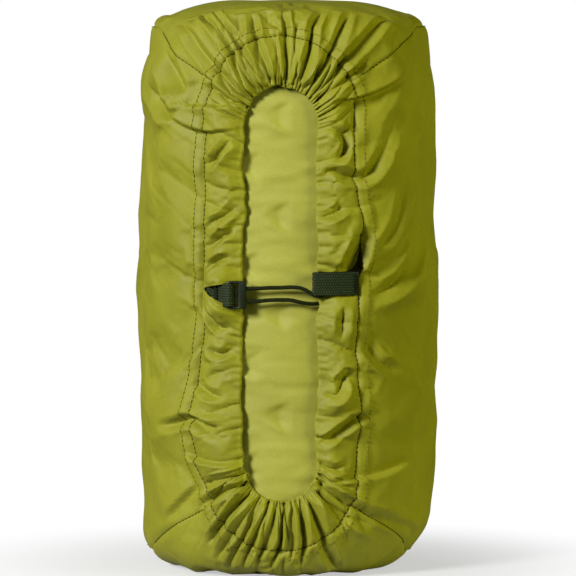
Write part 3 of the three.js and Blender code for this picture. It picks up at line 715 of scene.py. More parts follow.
def settle_cloth():
    """Simulates the sheet, and keeps how far each of its places moves."""
    start, rho = sheet_start()
    rows, columns = start.shape[:2]
    sheet = make_mesh("sheet", start.reshape(-1, 3), grid_faces(rows, columns, closed=True))
    form = inner_form()
    edge = np.broadcast_to(rho, (rows, columns)).ravel()
    held = ((edge <= MOUTH_HALF_WIDTH + 0.1) | (edge >= SHEET_REACH - 2.6)).astype(float)
    steady = 0.65 * smooth(edge, 44, 62) + 0.35 * smooth(edge, 90, SHEET_REACH - 6)
    add_cloth(sheet, held, steady)
    scene = bpy.context.scene
    for number in range(1, SHEET_FRAMES + 1):
        scene.frame_set(number)
    result = sheet.evaluated_get(bpy.context.evaluated_depsgraph_get()).to_mesh()
    end = np.zeros(len(result.vertices) * 3)
    result.vertices.foreach_get("co", end)
    moved = end.reshape(rows, columns, 3) / MM - start
    reach = np.linalg.norm(moved, axis=-1, keepdims=True)
    moved *= np.minimum(1, SHEET_LIMIT / np.maximum(reach, 1e-6))
    moved *= 1 - smooth(rho, SHEET_REACH - SHEET_FADE, SHEET_REACH - 3)[..., None]
    scene.frame_set(1)
    for obj in (sheet, form):
        bpy.data.objects.remove(obj, do_unlink=True)
    SETTLED["shift"] = moved


# ---- Meshes --------------------------------------------------------------------------------------

def grid_normals(points, wrap_columns=False):
    """Vertex normals of a grid (rows, columns, 3)."""
    if wrap_columns:
        across = np.roll(points, -1, 1) - np.roll(points, 1, 1)
    else:
        across = np.gradient(points, axis=1)
    down = np.gradient(points, axis=0)
    n = np.cross(down, across)
    return n / np.maximum(np.linalg.norm(n, axis=-1, keepdims=True), 1e-9)


def grid_faces(rows, columns, first=0, closed=False, flip=False):
    """Four-sided faces over a grid of vertices; a closed grid joins its last column to its first."""
    r = np.arange(rows - 1)[:, None]
    c = np.arange(columns if closed else columns - 1)[None, :]
    after = (c + 1) % columns
    quads = [r * columns + c, (r + 1) * columns + c, (r + 1) * columns + after, r * columns + after]
    quads = np.stack(quads, -1).reshape(-1, 4) + first
    return quads[:, ::-1] if flip else quads


def closed_strip_faces(rows, columns, flip=False):
    """Faces of a thin closed strip: each row is a loop, out along one face and back along the other."""
    faces = [list(face) for face in grid_faces(rows, columns, 0, closed=True)]
    for row, turned in ((0, flip), (rows - 1, not flip)):
        first, last = row * columns, row * columns + columns - 1
        for k in range(columns // 2 - 1):
            face = [first + k, first + k + 1, last - 1 - k, last - k]
            faces.append(face[::-1] if turned else face)
    return faces


def make_mesh(name, vertices, faces, material=None, normals=None):
    """A smooth-shaded object from vertices in millimetres."""
    mesh = bpy.data.meshes.new(name)
    mesh.from_pydata((np.asarray(vertices) * MM).tolist(), [], [list(map(int, face)) for face in faces])
    mesh.validate()
    mesh.shade_smooth()
    if material is not None:
        mesh.materials.append(material)
    if normals is not None:
        mesh.normals_split_custom_set_from_vertices(normals.tolist())
    obj = bpy.data.objects.new(name, mesh)
    bpy.context.scene.collection.objects.link(obj)
    return obj


def stands_for(piece, node, body=None):
    """Hides the CAD node that a piece stands for, and puts the piece on a body if one is given."""
    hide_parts(node)
    if body:
        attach(piece, body)


def cloth_piece(name, points, normals, material, thickness=FABRIC, closed=False, pole=None):
    """A closed sheet of cloth between a grid and the same grid moved in along its normals."""
    rows, columns = points.shape[:2]
    outer = points.reshape(-1, 3)
    inner = (points - normals * thickness).reshape(-1, 3)
    count = rows * columns
    faces = [grid_faces(rows, columns, 0, closed), grid_faces(rows, columns, count, closed, True)]
    rims = [((rows - 1) * columns, True)]
    if pole is None:
        rims.append((0, False))
    for first, flip in rims:
        edge = first + np.arange(columns)
        following = np.roll(edge, -1)
        rim = np.stack([edge, edge + count, following + count, following], -1)
        rim = rim if closed else rim[:-1]
        faces.append(rim if flip else rim[:, ::-1])
    if not closed:
        for column, flip in ((0, False), (columns - 1, True)):
            edge = np.arange(rows) * columns + column
            rim = np.stack([edge[:-1], edge[:-1] + count, edge[1:] + count, edge[1:]], -1)
            faces.append(rim if flip else rim[:, ::-1])
    faces = [list(face) for block in faces for face in block]
    vertices = [outer, inner]
    all_normals = [normals.reshape(-1, 3), -normals.reshape(-1, 3)]
    if pole is not None:
        centre, centre_normal = pole
        vertices.append(np.stack([centre, centre - centre_normal * thickness]))
        all_normals.append(np.stack([centre_normal, -centre_normal]))
        tip = 2 * count
        for c in range(columns):
            after = (c + 1) % columns
            faces.append([c, after, tip])
            faces.append([count + after, count + c, tip + 1])
    vertices = np.vstack(vertices)
    all_normals = np.vstack(all_normals)
    outer_faces = np.array(faces[: rows * columns // 2])
    corner = vertices[outer_faces]
    facing = np.cross(corner[:, 1] - corner[:, 0], corner[:, 2] - corner[:, 1])
    if (facing * all_normals[outer_faces[:, 0]]).sum() < 0:
        faces = [face[::-1] for face in faces]
    return make_mesh(name, vertices, faces, material, all_normals)


def oriented(normals, outward):
    """Normals turned to agree with the outward direction."""
    agree = np.sign((normals * outward).sum(-1).sum())
    return normals * (agree if agree else 1)


# ---- Cover panels --------------------------------------------------------------------------------

def spread(fine, coarse, fine_length):
    """Places from 0 to 1: fine steps at first, growing to coarse ones."""
    places = [0.0]
    while places[-1] < 1:
        gone = places[-1]
        step = fine if gone < fine_length else min(coarse, fine + (gone - fine_length) * 0.09)
        places.append(gone + step)
    return np.array(places) / places[-1]


# Size of the cover's mesh, and rough lengths from which the panels' steps are worked out.
FINE = 1.15
WRAP_RUN = 256
END_RUN = 115


def wrap_grid():
    """Azimuth and length over the wrap panel: rows go up it, and columns go round the back."""
    arc = np.arange(MITRE_FOOT, 0, -1.3 / SEAM_HALF_WIDTH * FINE)
    straight = np.arange(-SEAM_STRAIGHT, SEAM_STRAIGHT + FINE, 1.3 * FINE)
    straight = np.linspace(-SEAM_STRAIGHT, SEAM_STRAIGHT, len(straight))
    arc_w = SEAM_STRAIGHT + SEAM_HALF_WIDTH * np.sin(arc)
    arc_x = SEAM_HALF_WIDTH * np.cos(arc)
    seam_w = np.concatenate([-arc_w, straight, arc_w[::-1]])
    seam_x = np.concatenate([arc_x, np.full(len(straight), SEAM_HALF_WIDTH), arc_x[::-1]])
    seam_azimuth = np.arcsin(seam_x / RADIUS)
    round_back = spread(1.45 * FINE / WRAP_RUN, 2.9 * FINE / WRAP_RUN, 0.46)
    seam_length = MERIDIAN / 2 - seam_w
    top_at_seam = edge_length(seam_azimuth)
    rise = (seam_length - top_at_seam) / (MERIDIAN - 2 * top_at_seam)
    rise = (rise - rise.min()) / (rise.max() - rise.min())
    turn = seam_azimuth[:, None] + (math.pi - seam_azimuth[:, None]) * round_back[None, :]
    top = edge_length(turn)
    by_rise = (MERIDIAN - 2 * top) * rise[:, None] + top
    by_seam = seam_length[:, None] + (top - top[:, :1]) * (1 - 2 * rise[:, None])
    near_seam = (1 - smooth(round_back, 0.0, 0.12))[None, :]
    length = by_rise * (1 - near_seam) + by_seam * near_seam
    azimuth = np.concatenate([-turn, turn[:, -2::-1]], 1)
    length = np.concatenate([length, length[:, -2::-1]], 1)
    return azimuth, length


def build_wrap(material):
    """The panel that goes round the sack from one side of the collar to the other."""
    points, outward = drape(*wrap_grid())
    normals = oriented(grid_normals(points), outward)
    piece = cloth_piece("wrap_panel_fabric", points, normals, material)
    stands_for(piece, "wrap_panel", "root")


def end_columns():
    """Azimuths round an end panel: dense across the front lip, wider at the back."""
    step = FINE * 0.62 / SEAM_HALF_WIDTH
    arc = np.arange(MITRE_FOOT, math.pi / 2, step)
    front = np.arcsin(SEAM_HALF_WIDTH * np.cos(arc) / RADIUS)
    flank = np.linspace(MITRE_REAR, front[0], int(60 / FINE), endpoint=False)
    back = np.linspace(math.pi, MITRE_REAR, 40, endpoint=False)
    one_side = np.concatenate([back[1:], flank, front])
    return np.concatenate([[-math.pi], -one_side, [0.0], one_side[::-1]])


def end_edge(azimuth):
    """Length from the pole to an end panel's edge: the collar seam in front, then the mitre and end seams."""
    x = RADIUS * np.sin(azimuth)
    foot_x = SEAM_HALF_WIDTH * math.cos(MITRE_FOOT)
    in_front = (np.abs(azimuth) < math.radians(40)) & (np.abs(x) < foot_x + 1e-6)
    seam_w = SEAM_STRAIGHT + np.sqrt(np.clip(SEAM_HALF_WIDTH**2 - x**2, 0, None))
    return np.where(in_front, MERIDIAN / 2 - seam_w, edge_length(azimuth))


def build_end(name, is_top, node, material):
    """An end panel, as a grid of rings round its pole."""
    azimuth = end_columns()
    inward = spread(FINE / END_RUN, 4.0 / END_RUN, 0.45)[:-1]
    length = end_edge(azimuth)[None, :] * (1 - inward[::-1, None])
    azimuth = np.broadcast_to(azimuth, length.shape)
    if not is_top:
        azimuth = -azimuth
        length = MERIDIAN - length
    points, outward = drape(azimuth, length)
    normals = oriented(grid_normals(points, wrap_columns=True), outward)
    pole = (points[0].mean(0), np.array([0, 0, 1.0 if is_top else -1.0]))
    piece = cloth_piece(name, points, normals, material, closed=True, pole=pole)
    stands_for(piece, node, "root")


# ---- Collar --------------------------------------------------------------------------------------

COLLAR_ROWS = 26
ROLL_ROWS = 10
ROLL_TURN = math.radians(240)
# Half of the collar's gap at each strap, and how far above the strap's middle the gap starts at the seam.
LEFT_GAP = {"seam": 0.5, "hem": 8.8, "rise": 3.2}
RIGHT_GAP = {"seam": 6.0, "hem": 7.6, "rise": 0.0}
# Over the tab, the end of the right casing curls up and leaves a wedge-shaped opening at the seam.
WEDGE_RISE = 14.0
WEDGE_RANGE = 30.0
WEDGE_BEND = 9
# Rough lengths of a station line along half a side, and round an end.
SIDE_RUN = 105
END_ARC_RUN = 250


def side_stations(side, top):
    """Places along one half of one side of the collar, from the strap's gap to the corner.

    Each is (mouth x, mouth w, seam x, seam w, path): a line across the collar from the hem to the seam.
    """
    gap = RIGHT_GAP if side > 0 else LEFT_GAP
    strap = (TAB_Z if side > 0 else STRAP_Z) - MID
    sign = 1 if top else -1
    v = np.linspace(0, 1, int(SIDE_RUN / (0.85 * FINE / 1.15)))
    seam_start = strap + gap["rise"] + sign * gap["seam"]
    mouth_start = strap + sign * gap["hem"]
    seam_w = seam_start + (sign * SEAM_STRAIGHT - seam_start) * v
    mouth_w = mouth_start + (sign * MOUTH_STRAIGHT - mouth_start) * v
    mouth_x = np.full_like(v, side * MOUTH_HALF_WIDTH)
    seam_x = np.full_like(v, side * SEAM_HALF_WIDTH)
    return np.stack([mouth_x, mouth_w, seam_x, seam_w, seam_w], 1)


def end_stations(sign):
    """The same for a whole end, from the right corner over to the left one."""
    angle = np.linspace(0, math.pi, int(END_ARC_RUN * 1.15 / FINE))
    path = SEAM_STRAIGHT + SEAM_HALF_WIDTH * np.minimum(angle, math.pi - angle)
    return np.stack([
        MOUTH_HALF_WIDTH * np.cos(angle),
        sign * (MOUTH_STRAIGHT + MOUTH_HALF_WIDTH * np.sin(angle)),
        SEAM_HALF_WIDTH * np.cos(angle),
        sign * (SEAM_STRAIGHT + SEAM_HALF_WIDTH * np.sin(angle)),
        sign * path,
    ], 1)


def collar_grid(stations):
    """Cloth of the collar: rows run from the seam to the hem and on round the cord, columns are stations."""
    share = np.linspace(1, HEM_RADIUS / SEAM_RANGE, COLLAR_ROWS)[:, None]
    mouth_x, mouth_w, seam_x, seam_w, path = stations.T
    x = mouth_x + (seam_x - mouth_x) * share
    w = mouth_w + (seam_w - mouth_w) * share
    over_tab = (mouth_w - (TAB_Z - MID)) * (seam_x > 0)
    wedge = WEDGE_RISE * (1 - smooth(over_tab, RIGHT_GAP["hem"], WEDGE_RANGE)) * (over_tab > 0)
    w = w + wedge * share**WEDGE_BEND
    rho = MOUTH_HALF_WIDTH + SEAM_RANGE * share + 0 * x
    path = np.broadcast_to(path, x.shape)
    azimuth = np.arcsin(x / RADIUS)
    flat, outward = drape(azimuth, MERIDIAN / 2 - w, path, rho, strap_cover(x, w))
    across = flat[-1] - flat[-4]
    across -= outward[-1] * (across * outward[-1]).sum(-1, keepdims=True)
    across /= np.linalg.norm(across, axis=-1, keepdims=True)
    centre = flat[-1] - outward[-1] * HEM_RADIUS
    turns = np.linspace(0, ROLL_TURN, ROLL_ROWS + 1)[1:, None, None]
    roll = centre + HEM_RADIUS * (across * np.sin(turns) + outward[-1] * np.cos(turns))
    points = np.concatenate([flat, roll])
    radial = np.concatenate([outward, np.broadcast_to(outward[-1], roll.shape)])
    return points, radial, rho


def strap_cover(x, w):
    """Extra height where the collar lies over the root of the left strap, and less round the tab's gap."""
    place = w + MID
    along = 1 - smooth(np.abs(place - STRAP_Z), 8, 22)
    across = smooth(-x, 24, 36) * (1 - 0.8 * smooth(-x, 39, 48)) * (x < 0)
    dip = bell(place - TAB_Z, 11) * smooth(x, 20, 26) * (x > 0)
    return 10.0 * along * across - 1.2 * dip


def blend_by_weight(piece, other):
    """Bakes a piece's transform into its mesh."""
    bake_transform(piece)


def build_collar(material):
    """The collar's two ends and four half sides; the ends ride on the root."""
    sections = {
        "collar_right_upper": (side_stations(1, True), "right_collar"),
        "collar_left_upper": (side_stations(-1, True), "left_collar"),
        "collar_left_lower": (side_stations(-1, False), "left_collar"),
        "collar_right_lower": (side_stations(1, False), "right_collar"),
        "collar_top": (end_stations(1), None),
        "collar_bottom": (end_stations(-1), None),
    }
    for node, (stations, body) in sections.items():
        points, outward, rho = collar_grid(stations)
        normals = grid_normals(points)
        # the rows up to the hem decide which way is out, as the rows after it roll under
        normals *= np.sign((normals[:COLLAR_ROWS] * outward[:COLLAR_ROWS]).sum())
        piece = cloth_piece(node + "_fabric", points, normals, material, thickness=COLLAR_FABRIC)
        stands_for(piece, node, None if body else "root")
        if body:
            share = np.clip((rho - MOUTH_HALF_WIDTH) / SEAM_RANGE, 0, 1)
            share = np.concatenate([share, np.zeros((len(points) - len(share), share.shape[1]))])
            blend_by_weight(piece, body)


# ---- Cords, straps and stitches ------------------------------------------------------------------

def cross_directions(line):
    """Two directions across a line at each of its points, which don't twist round it."""
    tangent = np.gradient(line, axis=0)
    tangent /= np.linalg.norm(tangent, axis=1, keepdims=True)
    across = np.cross(tangent[0], [0.0, 1.0, 0.0])
    if np.linalg.norm(across) < 0.1:
        across = np.cross(tangent[0], [1.0, 0.0, 0.0])
    sideways = []
    for direction in tangent:
        across = across - direction * across.dot(direction)
        across = across / np.linalg.norm(across)
        sideways.append(across)
    return np.array(sideways), np.cross(tangent, sideways)


def distance_along(line):
    """Distance from a line's start at each of its points."""
    return np.concatenate([[0], np.cumsum(np.linalg.norm(np.diff(line, axis=0), axis=1))])


def values_at(places, gone, values):
    """Three-part values at places along a line, where gone is the distance of each known value."""
    return np.stack([np.interp(places, gone, values[:, i]) for i in range(3)], -1)


def even_line(points, step):
    """A smooth line through points, with evenly spaced places on it."""
    dense = curve_through(points, LINE_SAMPLES)
    gone = distance_along(dense)
    return values_at(np.linspace(0, gone[-1], max(4, int(gone[-1] / step))), gone, dense)


LINE_SAMPLES = 24
BRAID_SIDES = 20
BRAID_STRANDS = 8
BRAID_PITCH = 7.0
BRAID_RELIEF = 0.09


def tube(line, radius, sides=BRAID_SIDES, relief=BRAID_RELIEF):
    """Vertices and faces of a closed tube; a relief gives it two sets of strands that cross."""
    sideways, upward = cross_directions(line)
    angle = 2 * math.pi * np.arange(sides) / sides
    turn = distance_along(line)[:, None] * 2 * math.pi / BRAID_PITCH
    half = BRAID_STRANDS / 2
    strands = np.abs(np.cos(half * (angle + turn))) + np.abs(np.cos(half * (angle - turn)))
    ring_radius = (radius + relief * (strands - 1.3))[..., None]
    out = sideways[:, None] * np.cos(angle)[:, None] + upward[:, None] * np.sin(angle)[:, None]
    rings = line[:, None] + ring_radius * out
    vertices = np.vstack([rings.reshape(-1, 3), line[:1], line[-1:]])
    count = len(line)
    faces = [list(face) for face in grid_faces(count, sides, closed=True, flip=True)]
    for k in range(sides):
        after = (k + 1) % sides
        faces.append([after, k, count * sides])
        faces.append([(count - 1) * sides + k, (count - 1) * sides + after, count * sides + 1])
    return vertices, faces


def join(parts):
    """One list of vertices and faces from several."""
    vertices, faces, first = [], [], 0
    for some_vertices, some_faces in parts:
        vertices.append(some_vertices)
        faces.extend([[index + first for index in face] for face in some_faces])
        first += len(some_vertices)
    return np.vstack(vertices), faces


def hem_line(stations):
    """Middle of the hem's roll, where the elastic cord runs."""
    grid, outward, _ = collar_grid(stations)
    return grid[COLLAR_ROWS - 1] - outward[COLLAR_ROWS - 1] * HEM_RADIUS


CORD_RADIUS = 1.25
HEM_CORD_RADIUS = 1.0
HEM_CORD_STEP = 1.2
CORD_STEP = 0.45


def add_hem_cord(line, node, material, body=None):
    """A run of the elastic cord inside the hem."""
    vertices, faces = tube(even_line(line, HEM_CORD_STEP), HEM_CORD_RADIUS, sides=10)
    piece = make_mesh(node + "_cord", vertices, faces, material)
    stands_for(piece, node, body)
    return piece, vertices


def build_hem_cords(material):
    """The elastic cord round the mouth, in runs that match the collar's sections."""
    every = 2
    for node, sign in (("elastic_top", 1), ("elastic_bottom", -1)):
        add_hem_cord(hem_line(end_stations(sign))[::every], node, material, "root")
    upper_left = hem_line(side_stations(-1, True))
    lower_left = hem_line(side_stations(-1, False))
    runs = {
        "elastic_left": (np.vstack([lower_left[::-every], upper_left[::every]]), "left_collar"),
        "elastic_right_upper": (hem_line(side_stations(1, True))[::every], "right_collar"),
        "elastic_right_lower": (hem_line(side_stations(1, False))[::every], "right_collar"),
    }
    for node, (line, body) in runs.items():
        piece, vertices = add_hem_cord(line, node, material)
        blend_by_weight(piece, body)


ANCHOR_LOW, ANCHOR_HIGH = cad_box("cord_anchor")
ANCHOR_Y = (ANCHOR_LOW[1] + ANCHOR_HIGH[1]) / 2
CORD_HALF_SPACING = 4.1
FLAP_CORD_X = -12.0
# How far each strand rises where it crosses the middle of the mouth.
HIGH_RISE = 0.6
LOW_RISE = 1.1


def cord(points):
    """A length of cord through a few points."""
    return tube(even_line(points, CORD_STEP), CORD_RADIUS)


def right_strands(high, low):
    """From the middle of the mouth into the right hem, where the upper strand dips under the tab."""
    upper_hem = hem_line(side_stations(1, True))[0]
    lower_hem = hem_line(side_stations(1, False))[0]
    upper = [
        (0, ANCHOR_Y, high + HIGH_RISE),
        (8, ANCHOR_Y - 0.2, high + 0.9),
        (14, ANCHOR_Y, high + 0.1),
        (19, ANCHOR_Y + 0.4, high - 2.4),
        (23, ANCHOR_Y + 1.0, high - 4.6),
        (27, upper_hem[1] + 0.4, high - 4.0),
        (29, upper_hem[1] + 0.8, upper_hem[2] - 1.0),
    ]
    lower = [
        (0, ANCHOR_Y, low + LOW_RISE),
        (7, ANCHOR_Y + 0.2, low + 0.9),
        (12, ANCHOR_Y + 0.9, low - 0.3),
        (17, ANCHOR_Y + 2.6, low - 1.3),
        (21.5, ANCHOR_Y + 5.0, low - 1.7),
        (26, lower_hem[1] + 1.8, low - 1.5),
    ]
    return join([cord(upper), cord(lower)])


def middle_strands(high, low):
    """From the middle of the mouth towards the anchor, up to the part that follows the strap."""
    parts = []
    for z, rise in ((high, HIGH_RISE), (low, LOW_RISE)):
        places = ((0, rise), (-6, 0.8 * rise), (FLAP_CORD_X, 0.3 * rise))
        parts.append(cord([(x, ANCHOR_Y, z + up) for x, up in places]))
    return join(parts)


def anchor_loop(high, low):
    """Through the anchor, round its right-hand bar and back."""
    inside = ANCHOR_HIGH[0] - 3.8
    turn = inside - CORD_RADIUS - 0.8
    bend = [(-17, 0), (ANCHOR_HIGH[0] + 1, 0), (inside, 0), (inside - 0.9, -0.3), (turn, -2.2)]
    loop = [(FLAP_CORD_X, ANCHOR_Y, high + 0.3 * HIGH_RISE)]
    loop.extend((x, ANCHOR_Y, high + up) for x, up in bend)
    loop.extend((x, ANCHOR_Y, low - up) for x, up in reversed(bend))
    loop.append((FLAP_CORD_X, ANCHOR_Y, low + 0.3 * LOW_RISE))
    return cord(loop)


def build_cross_cord(material):
    """Two strands over the mouth: out of the right hem, through the anchor and back."""
    strands = (STRAP_Z + CORD_HALF_SPACING, STRAP_Z - CORD_HALF_SPACING)
    spans = [
        ("cross_cord_right", right_strands, "root", "right_collar", 1, 16.0),
        ("cross_cord_middle", middle_strands, "root", "left_collar", 0, FLAP_CORD_X),
        ("cross_cord_loop", anchor_loop, "left_collar", "left_strap", FLAP_CORD_X, ANCHOR_HIGH[0]),
    ]
    for name, shape, first, second, start, stop in spans:
        piece = make_mesh(name, *shape(*strands), material)
        stands_for(piece, "cross_cord")
        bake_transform(piece)


WEB_RELIEF = 0.3
WEB_RIB = WEBBING_WIDTH / 9
WEB_STEP = 0.28


def webbing_strip(name, centres, middle_z, material):
    """Woven strap swept along a centre line in plan, with its ribs and bound edges in the mesh."""
    line = even_line([(x, y, 0) for x, y in centres], WEB_STEP)
    tangent = np.gradient(line, axis=0)
    tangent /= np.linalg.norm(tangent, axis=1, keepdims=True)
    out = np.stack([tangent[:, 1], -tangent[:, 0], np.zeros(len(line))], 1)
    z = np.linspace(-WEBBING_WIDTH / 2, WEBBING_WIDTH / 2, int(WEBBING_WIDTH / WEB_STEP))
    rib = np.floor(z / WEB_RIB + 0.5)[None, :]
    along = distance_along(line)[:, None]
    ribs = np.abs(np.cos(math.pi * along / WEB_RIB + 0.5 * math.pi * rib)) ** 0.7
    cells = np.abs(np.cos(math.pi * z / WEB_RIB))[None, :] ** 0.6
    edge = smooth(np.abs(z), WEBBING_WIDTH / 2 - 0.9, WEBBING_WIDTH / 2)[None, :]
    relief = ribs * cells * (1 - 0.6 * edge)
    half = WEB_THICKNESS / 2 * np.sqrt(1 - 0.85 * edge**2) + WEB_RELIEF * (relief - 1)
    base = line[:, None] + np.stack([0 * z, 0 * z, z + middle_z], -1)[None]
    outer = base + out[:, None] * half[..., None]
    inner = base - out[:, None] * half[..., None]
    loop = np.concatenate([outer, inner[:, ::-1]], 1)
    piece = make_mesh(name, loop.reshape(-1, 3), closed_strip_faces(*loop.shape[:2]), material)
    # the relief is kept on the mesh for the material, which paints highlight on the ribs and shade in the
    # grooves
    shade = piece.data.attributes.new("relief", "FLOAT", "POINT")
    values = np.concatenate([relief, relief[:, ::-1]], 1).astype(np.float32)
    shade.data.foreach_set("value", values.ravel())
    return piece


def plan_point(radius, azimuth):
    """(x, y) of a place at an azimuth round the sack."""
    return np.array([radius * math.sin(azimuth), -radius * math.cos(azimuth)])


WEB_THICKNESS = 1.4
WEB_HALF_PAIR = 0.95
# The left strap's root is in the collar seam, and its far end turns round the anchor's bar.
STRAP_ROOT_X = -47.5
STRAP_PLAN = [(-43.0, -89.4), (-38.2, -95.0)]
STRAP_BAR_X = ANCHOR_LOW[0] + 1.0
STRAP_BAR_OVER = 3.2
STRAP_BAR_AROUND = 2.0
# The right tab follows the filled sack, from the seam to its fold over the mouth.
TAB_RADIUS = 99.6
TAB_ROOT = math.asin(48.8 / TAB_RADIUS)
TAB_TIP = math.asin(22.0 / TAB_RADIUS)


def build_strap(material):
    """Left strap: out of the collar seam, over the anchor's bar and back under itself."""
    root = plan_point(RADIUS - 1.0, math.asin(STRAP_ROOT_X / RADIUS))
    leg = [root] + STRAP_PLAN
    around, over = STRAP_BAR_AROUND, STRAP_BAR_OVER
    bend = [(-1.2, -over), (around - 0.7, 0.2 - over), (around, 1.2 - over)]
    centres = [(x, y - WEB_HALF_PAIR) for x, y in leg]
    centres.extend((STRAP_BAR_X + x, ANCHOR_Y + y) for x, y in bend)
    centres.extend((STRAP_BAR_X + x, ANCHOR_Y - y) for x, y in reversed(bend))
    centres.extend((x, y + WEB_HALF_PAIR) for x, y in reversed(leg))
    piece = webbing_strip("strap_left_webbing", centres, STRAP_Z, material)
    stands_for(piece, "webbing_strap_left", "left_strap")


def build_tab(material):
    """Right pull tab: a doubled strip with its fold at the mouth."""
    azimuths = np.linspace(TAB_ROOT, TAB_TIP, 6)
    centres = [plan_point(TAB_RADIUS - WEB_HALF_PAIR, a) for a in azimuths]
    centres.append(plan_point(TAB_RADIUS, TAB_TIP - WEB_HALF_PAIR / TAB_RADIUS))
    centres.extend(plan_point(TAB_RADIUS + WEB_HALF_PAIR, a) for a in azimuths[::-1])
    piece = webbing_strip("tab_right_webbing", centres, TAB_Z, material)
    stands_for(piece, "webbing_tab_right", "right_tab")


def rectangle(low, high):
    """Corners of a rectangle, in order round it."""
    return [(low[0], low[1]), (high[0], low[1]), (high[0], high[1]), (low[0], high[1])]


ANCHOR_LEFT_BAR = 2.0
ANCHOR_RIGHT_BAR = 5.0
ANCHOR_CHEEK = 1.3
ANCHOR_BEVEL = 0.62


def build_anchor(material):
    """Moulded anchor: a bar for the strap and a wider one for the cord, joined at both ends."""
    low, high = ANCHOR_LOW, ANCHOR_HIGH
    hole_low = (low[0] + ANCHOR_LEFT_BAR, low[2] + ANCHOR_CHEEK)
    hole_high = (high[0] - ANCHOR_RIGHT_BAR, high[2] - ANCHOR_CHEEK)
    outline = rectangle((low[0], low[2]), (high[0], high[2])) + rectangle(hole_low, hole_high)
    vertices = [(x, y, z) for y in (low[1], high[1]) for x, z in outline]
    faces = []
    for k in range(4):
        n = (k + 1) % 4
        faces.append([k, n, 4 + n, 4 + k])
        faces.append([8 + k, 12 + k, 12 + n, 8 + n])
        faces.append([k, 8 + k, 8 + n, n])
        faces.append([4 + k, 4 + n, 12 + n, 12 + k])
    piece = make_mesh("cord_anchor_moulded", vertices, faces, material)
    solid = bmesh.new()
    solid.from_mesh(piece.data)
    bmesh.ops.recalc_face_normals(solid, faces=solid.faces)
    bmesh.ops.bevel(
        solid, geom=solid.edges[:], offset=ANCHOR_BEVEL * MM, segments=3, affect="EDGES", profile=0.5)
    solid.to_mesh(piece.data)
    solid.free()
    piece.data.shade_smooth()
    stands_for(piece, "cord_anchor", "left_strap")


TACK_CROSSINGS = 26
TACK_THREAD_RADIUS = 0.22


def build_tacks(material):
    """Bar tacks: zigzags of thread over each strap."""
    for node, body, sign in (("bartack_left", "left_strap", -1), ("bartack_right", "right_tab", 1)):
        low, high = cad_box(node)
        middle = (low + high) / 2
        slope = (high[1] - low[1] - 0.5) / max(high[0] - low[0], 0.1) * sign
        half_width = (high[0] - low[0]) / 2 - 0.25
        zigzag = []
        for k in range(TACK_CROSSINGS):
            x = half_width * (1 if k % 2 else -1)
            z = low[2] + 0.4 + (high[2] - low[2] - 0.8) * k / (TACK_CROSSINGS - 1)
            zigzag.append((middle[0] + x, middle[1] + x * slope * 0.9 + 0.1, z))
        thread = tube(even_line(zigzag, 0.5), TACK_THREAD_RADIUS, sides=6, relief=0)
        piece = make_mesh(node + "_thread", *thread, material)
        stands_for(piece, node, body)


KNOT_CORD_RADIUS = 0.72


def build_knot(material):
    """The cord's tied ends, under the pull tab: a trefoil knot."""
    low, high = cad_box("cord_knot")
    middle = (low + high) / 2
    reach = (high - low) / 2 - 0.75
    t = np.linspace(0, 2 * math.pi, 97)[:-1]
    out = (2 + np.cos(3 * t)) / 3
    trefoil = np.stack([out * np.cos(2 * t), np.sin(3 * t), out * np.sin(2 * t)], 1)
    knot = tube(middle + reach * trefoil, KNOT_CORD_RADIUS, sides=12, relief=0.04)
    piece = make_mesh("cord_knot_tied", *knot, material)
    stands_for(piece, "cord_knot", "right_collar")


STITCH_LENGTH = 2.3
STITCH_PITCH = 3.1
STITCH_RADIUS = 0.27
TOPSTITCH_OFFSET = 5.6
RING_OFFSET = 2.4
# Stitching of a mitre seam keeps clear of the collar's topstitching and of the end seam.
MITRE_STITCH_START = math.radians(31)
MITRE_STITCH_END = MITRE_REAR - 0.16


def stitches(places, lift=0.12):
    """Short thread loops along a line of (azimuth, length, path, rho) places."""
    line, normal = drape(*places)
    gone = distance_along(line)
    share = np.array([0, 0.12, 0.5, 0.88, 1.0])
    bow = np.array([-0.35, 0.1, 0.28, 0.1, -0.35])
    parts = []
    for start in np.arange(1.0, gone[-1] - STITCH_LENGTH, STITCH_PITCH):
        where = start + share * STITCH_LENGTH
        centre = values_at(where, gone, line) + values_at(where, gone, normal) * (bow + lift)[:, None]
        parts.append(tube(centre, STITCH_RADIUS, sides=6, relief=0))
    return join(parts)


def seam_places(rho, step=0.8):
    """Both sides of a line round the collar at a distance from the mouth's centre line."""
    lines = []
    for side in (1, -1):
        path = np.arange(1 - PATH_END, PATH_END - 1, step)
        azimuth, length = skin_from_map(*beside_seam(side, path, rho))
        lines.append((azimuth, length, path, np.full_like(path, rho)))
    return lines


def meridian_places(azimuth, length):
    """Places given by azimuth and length, with their path and distance along the collar seam."""
    path, rho = seam_coordinates(*map_from_skin(azimuth, length))
    return azimuth, length, path, rho


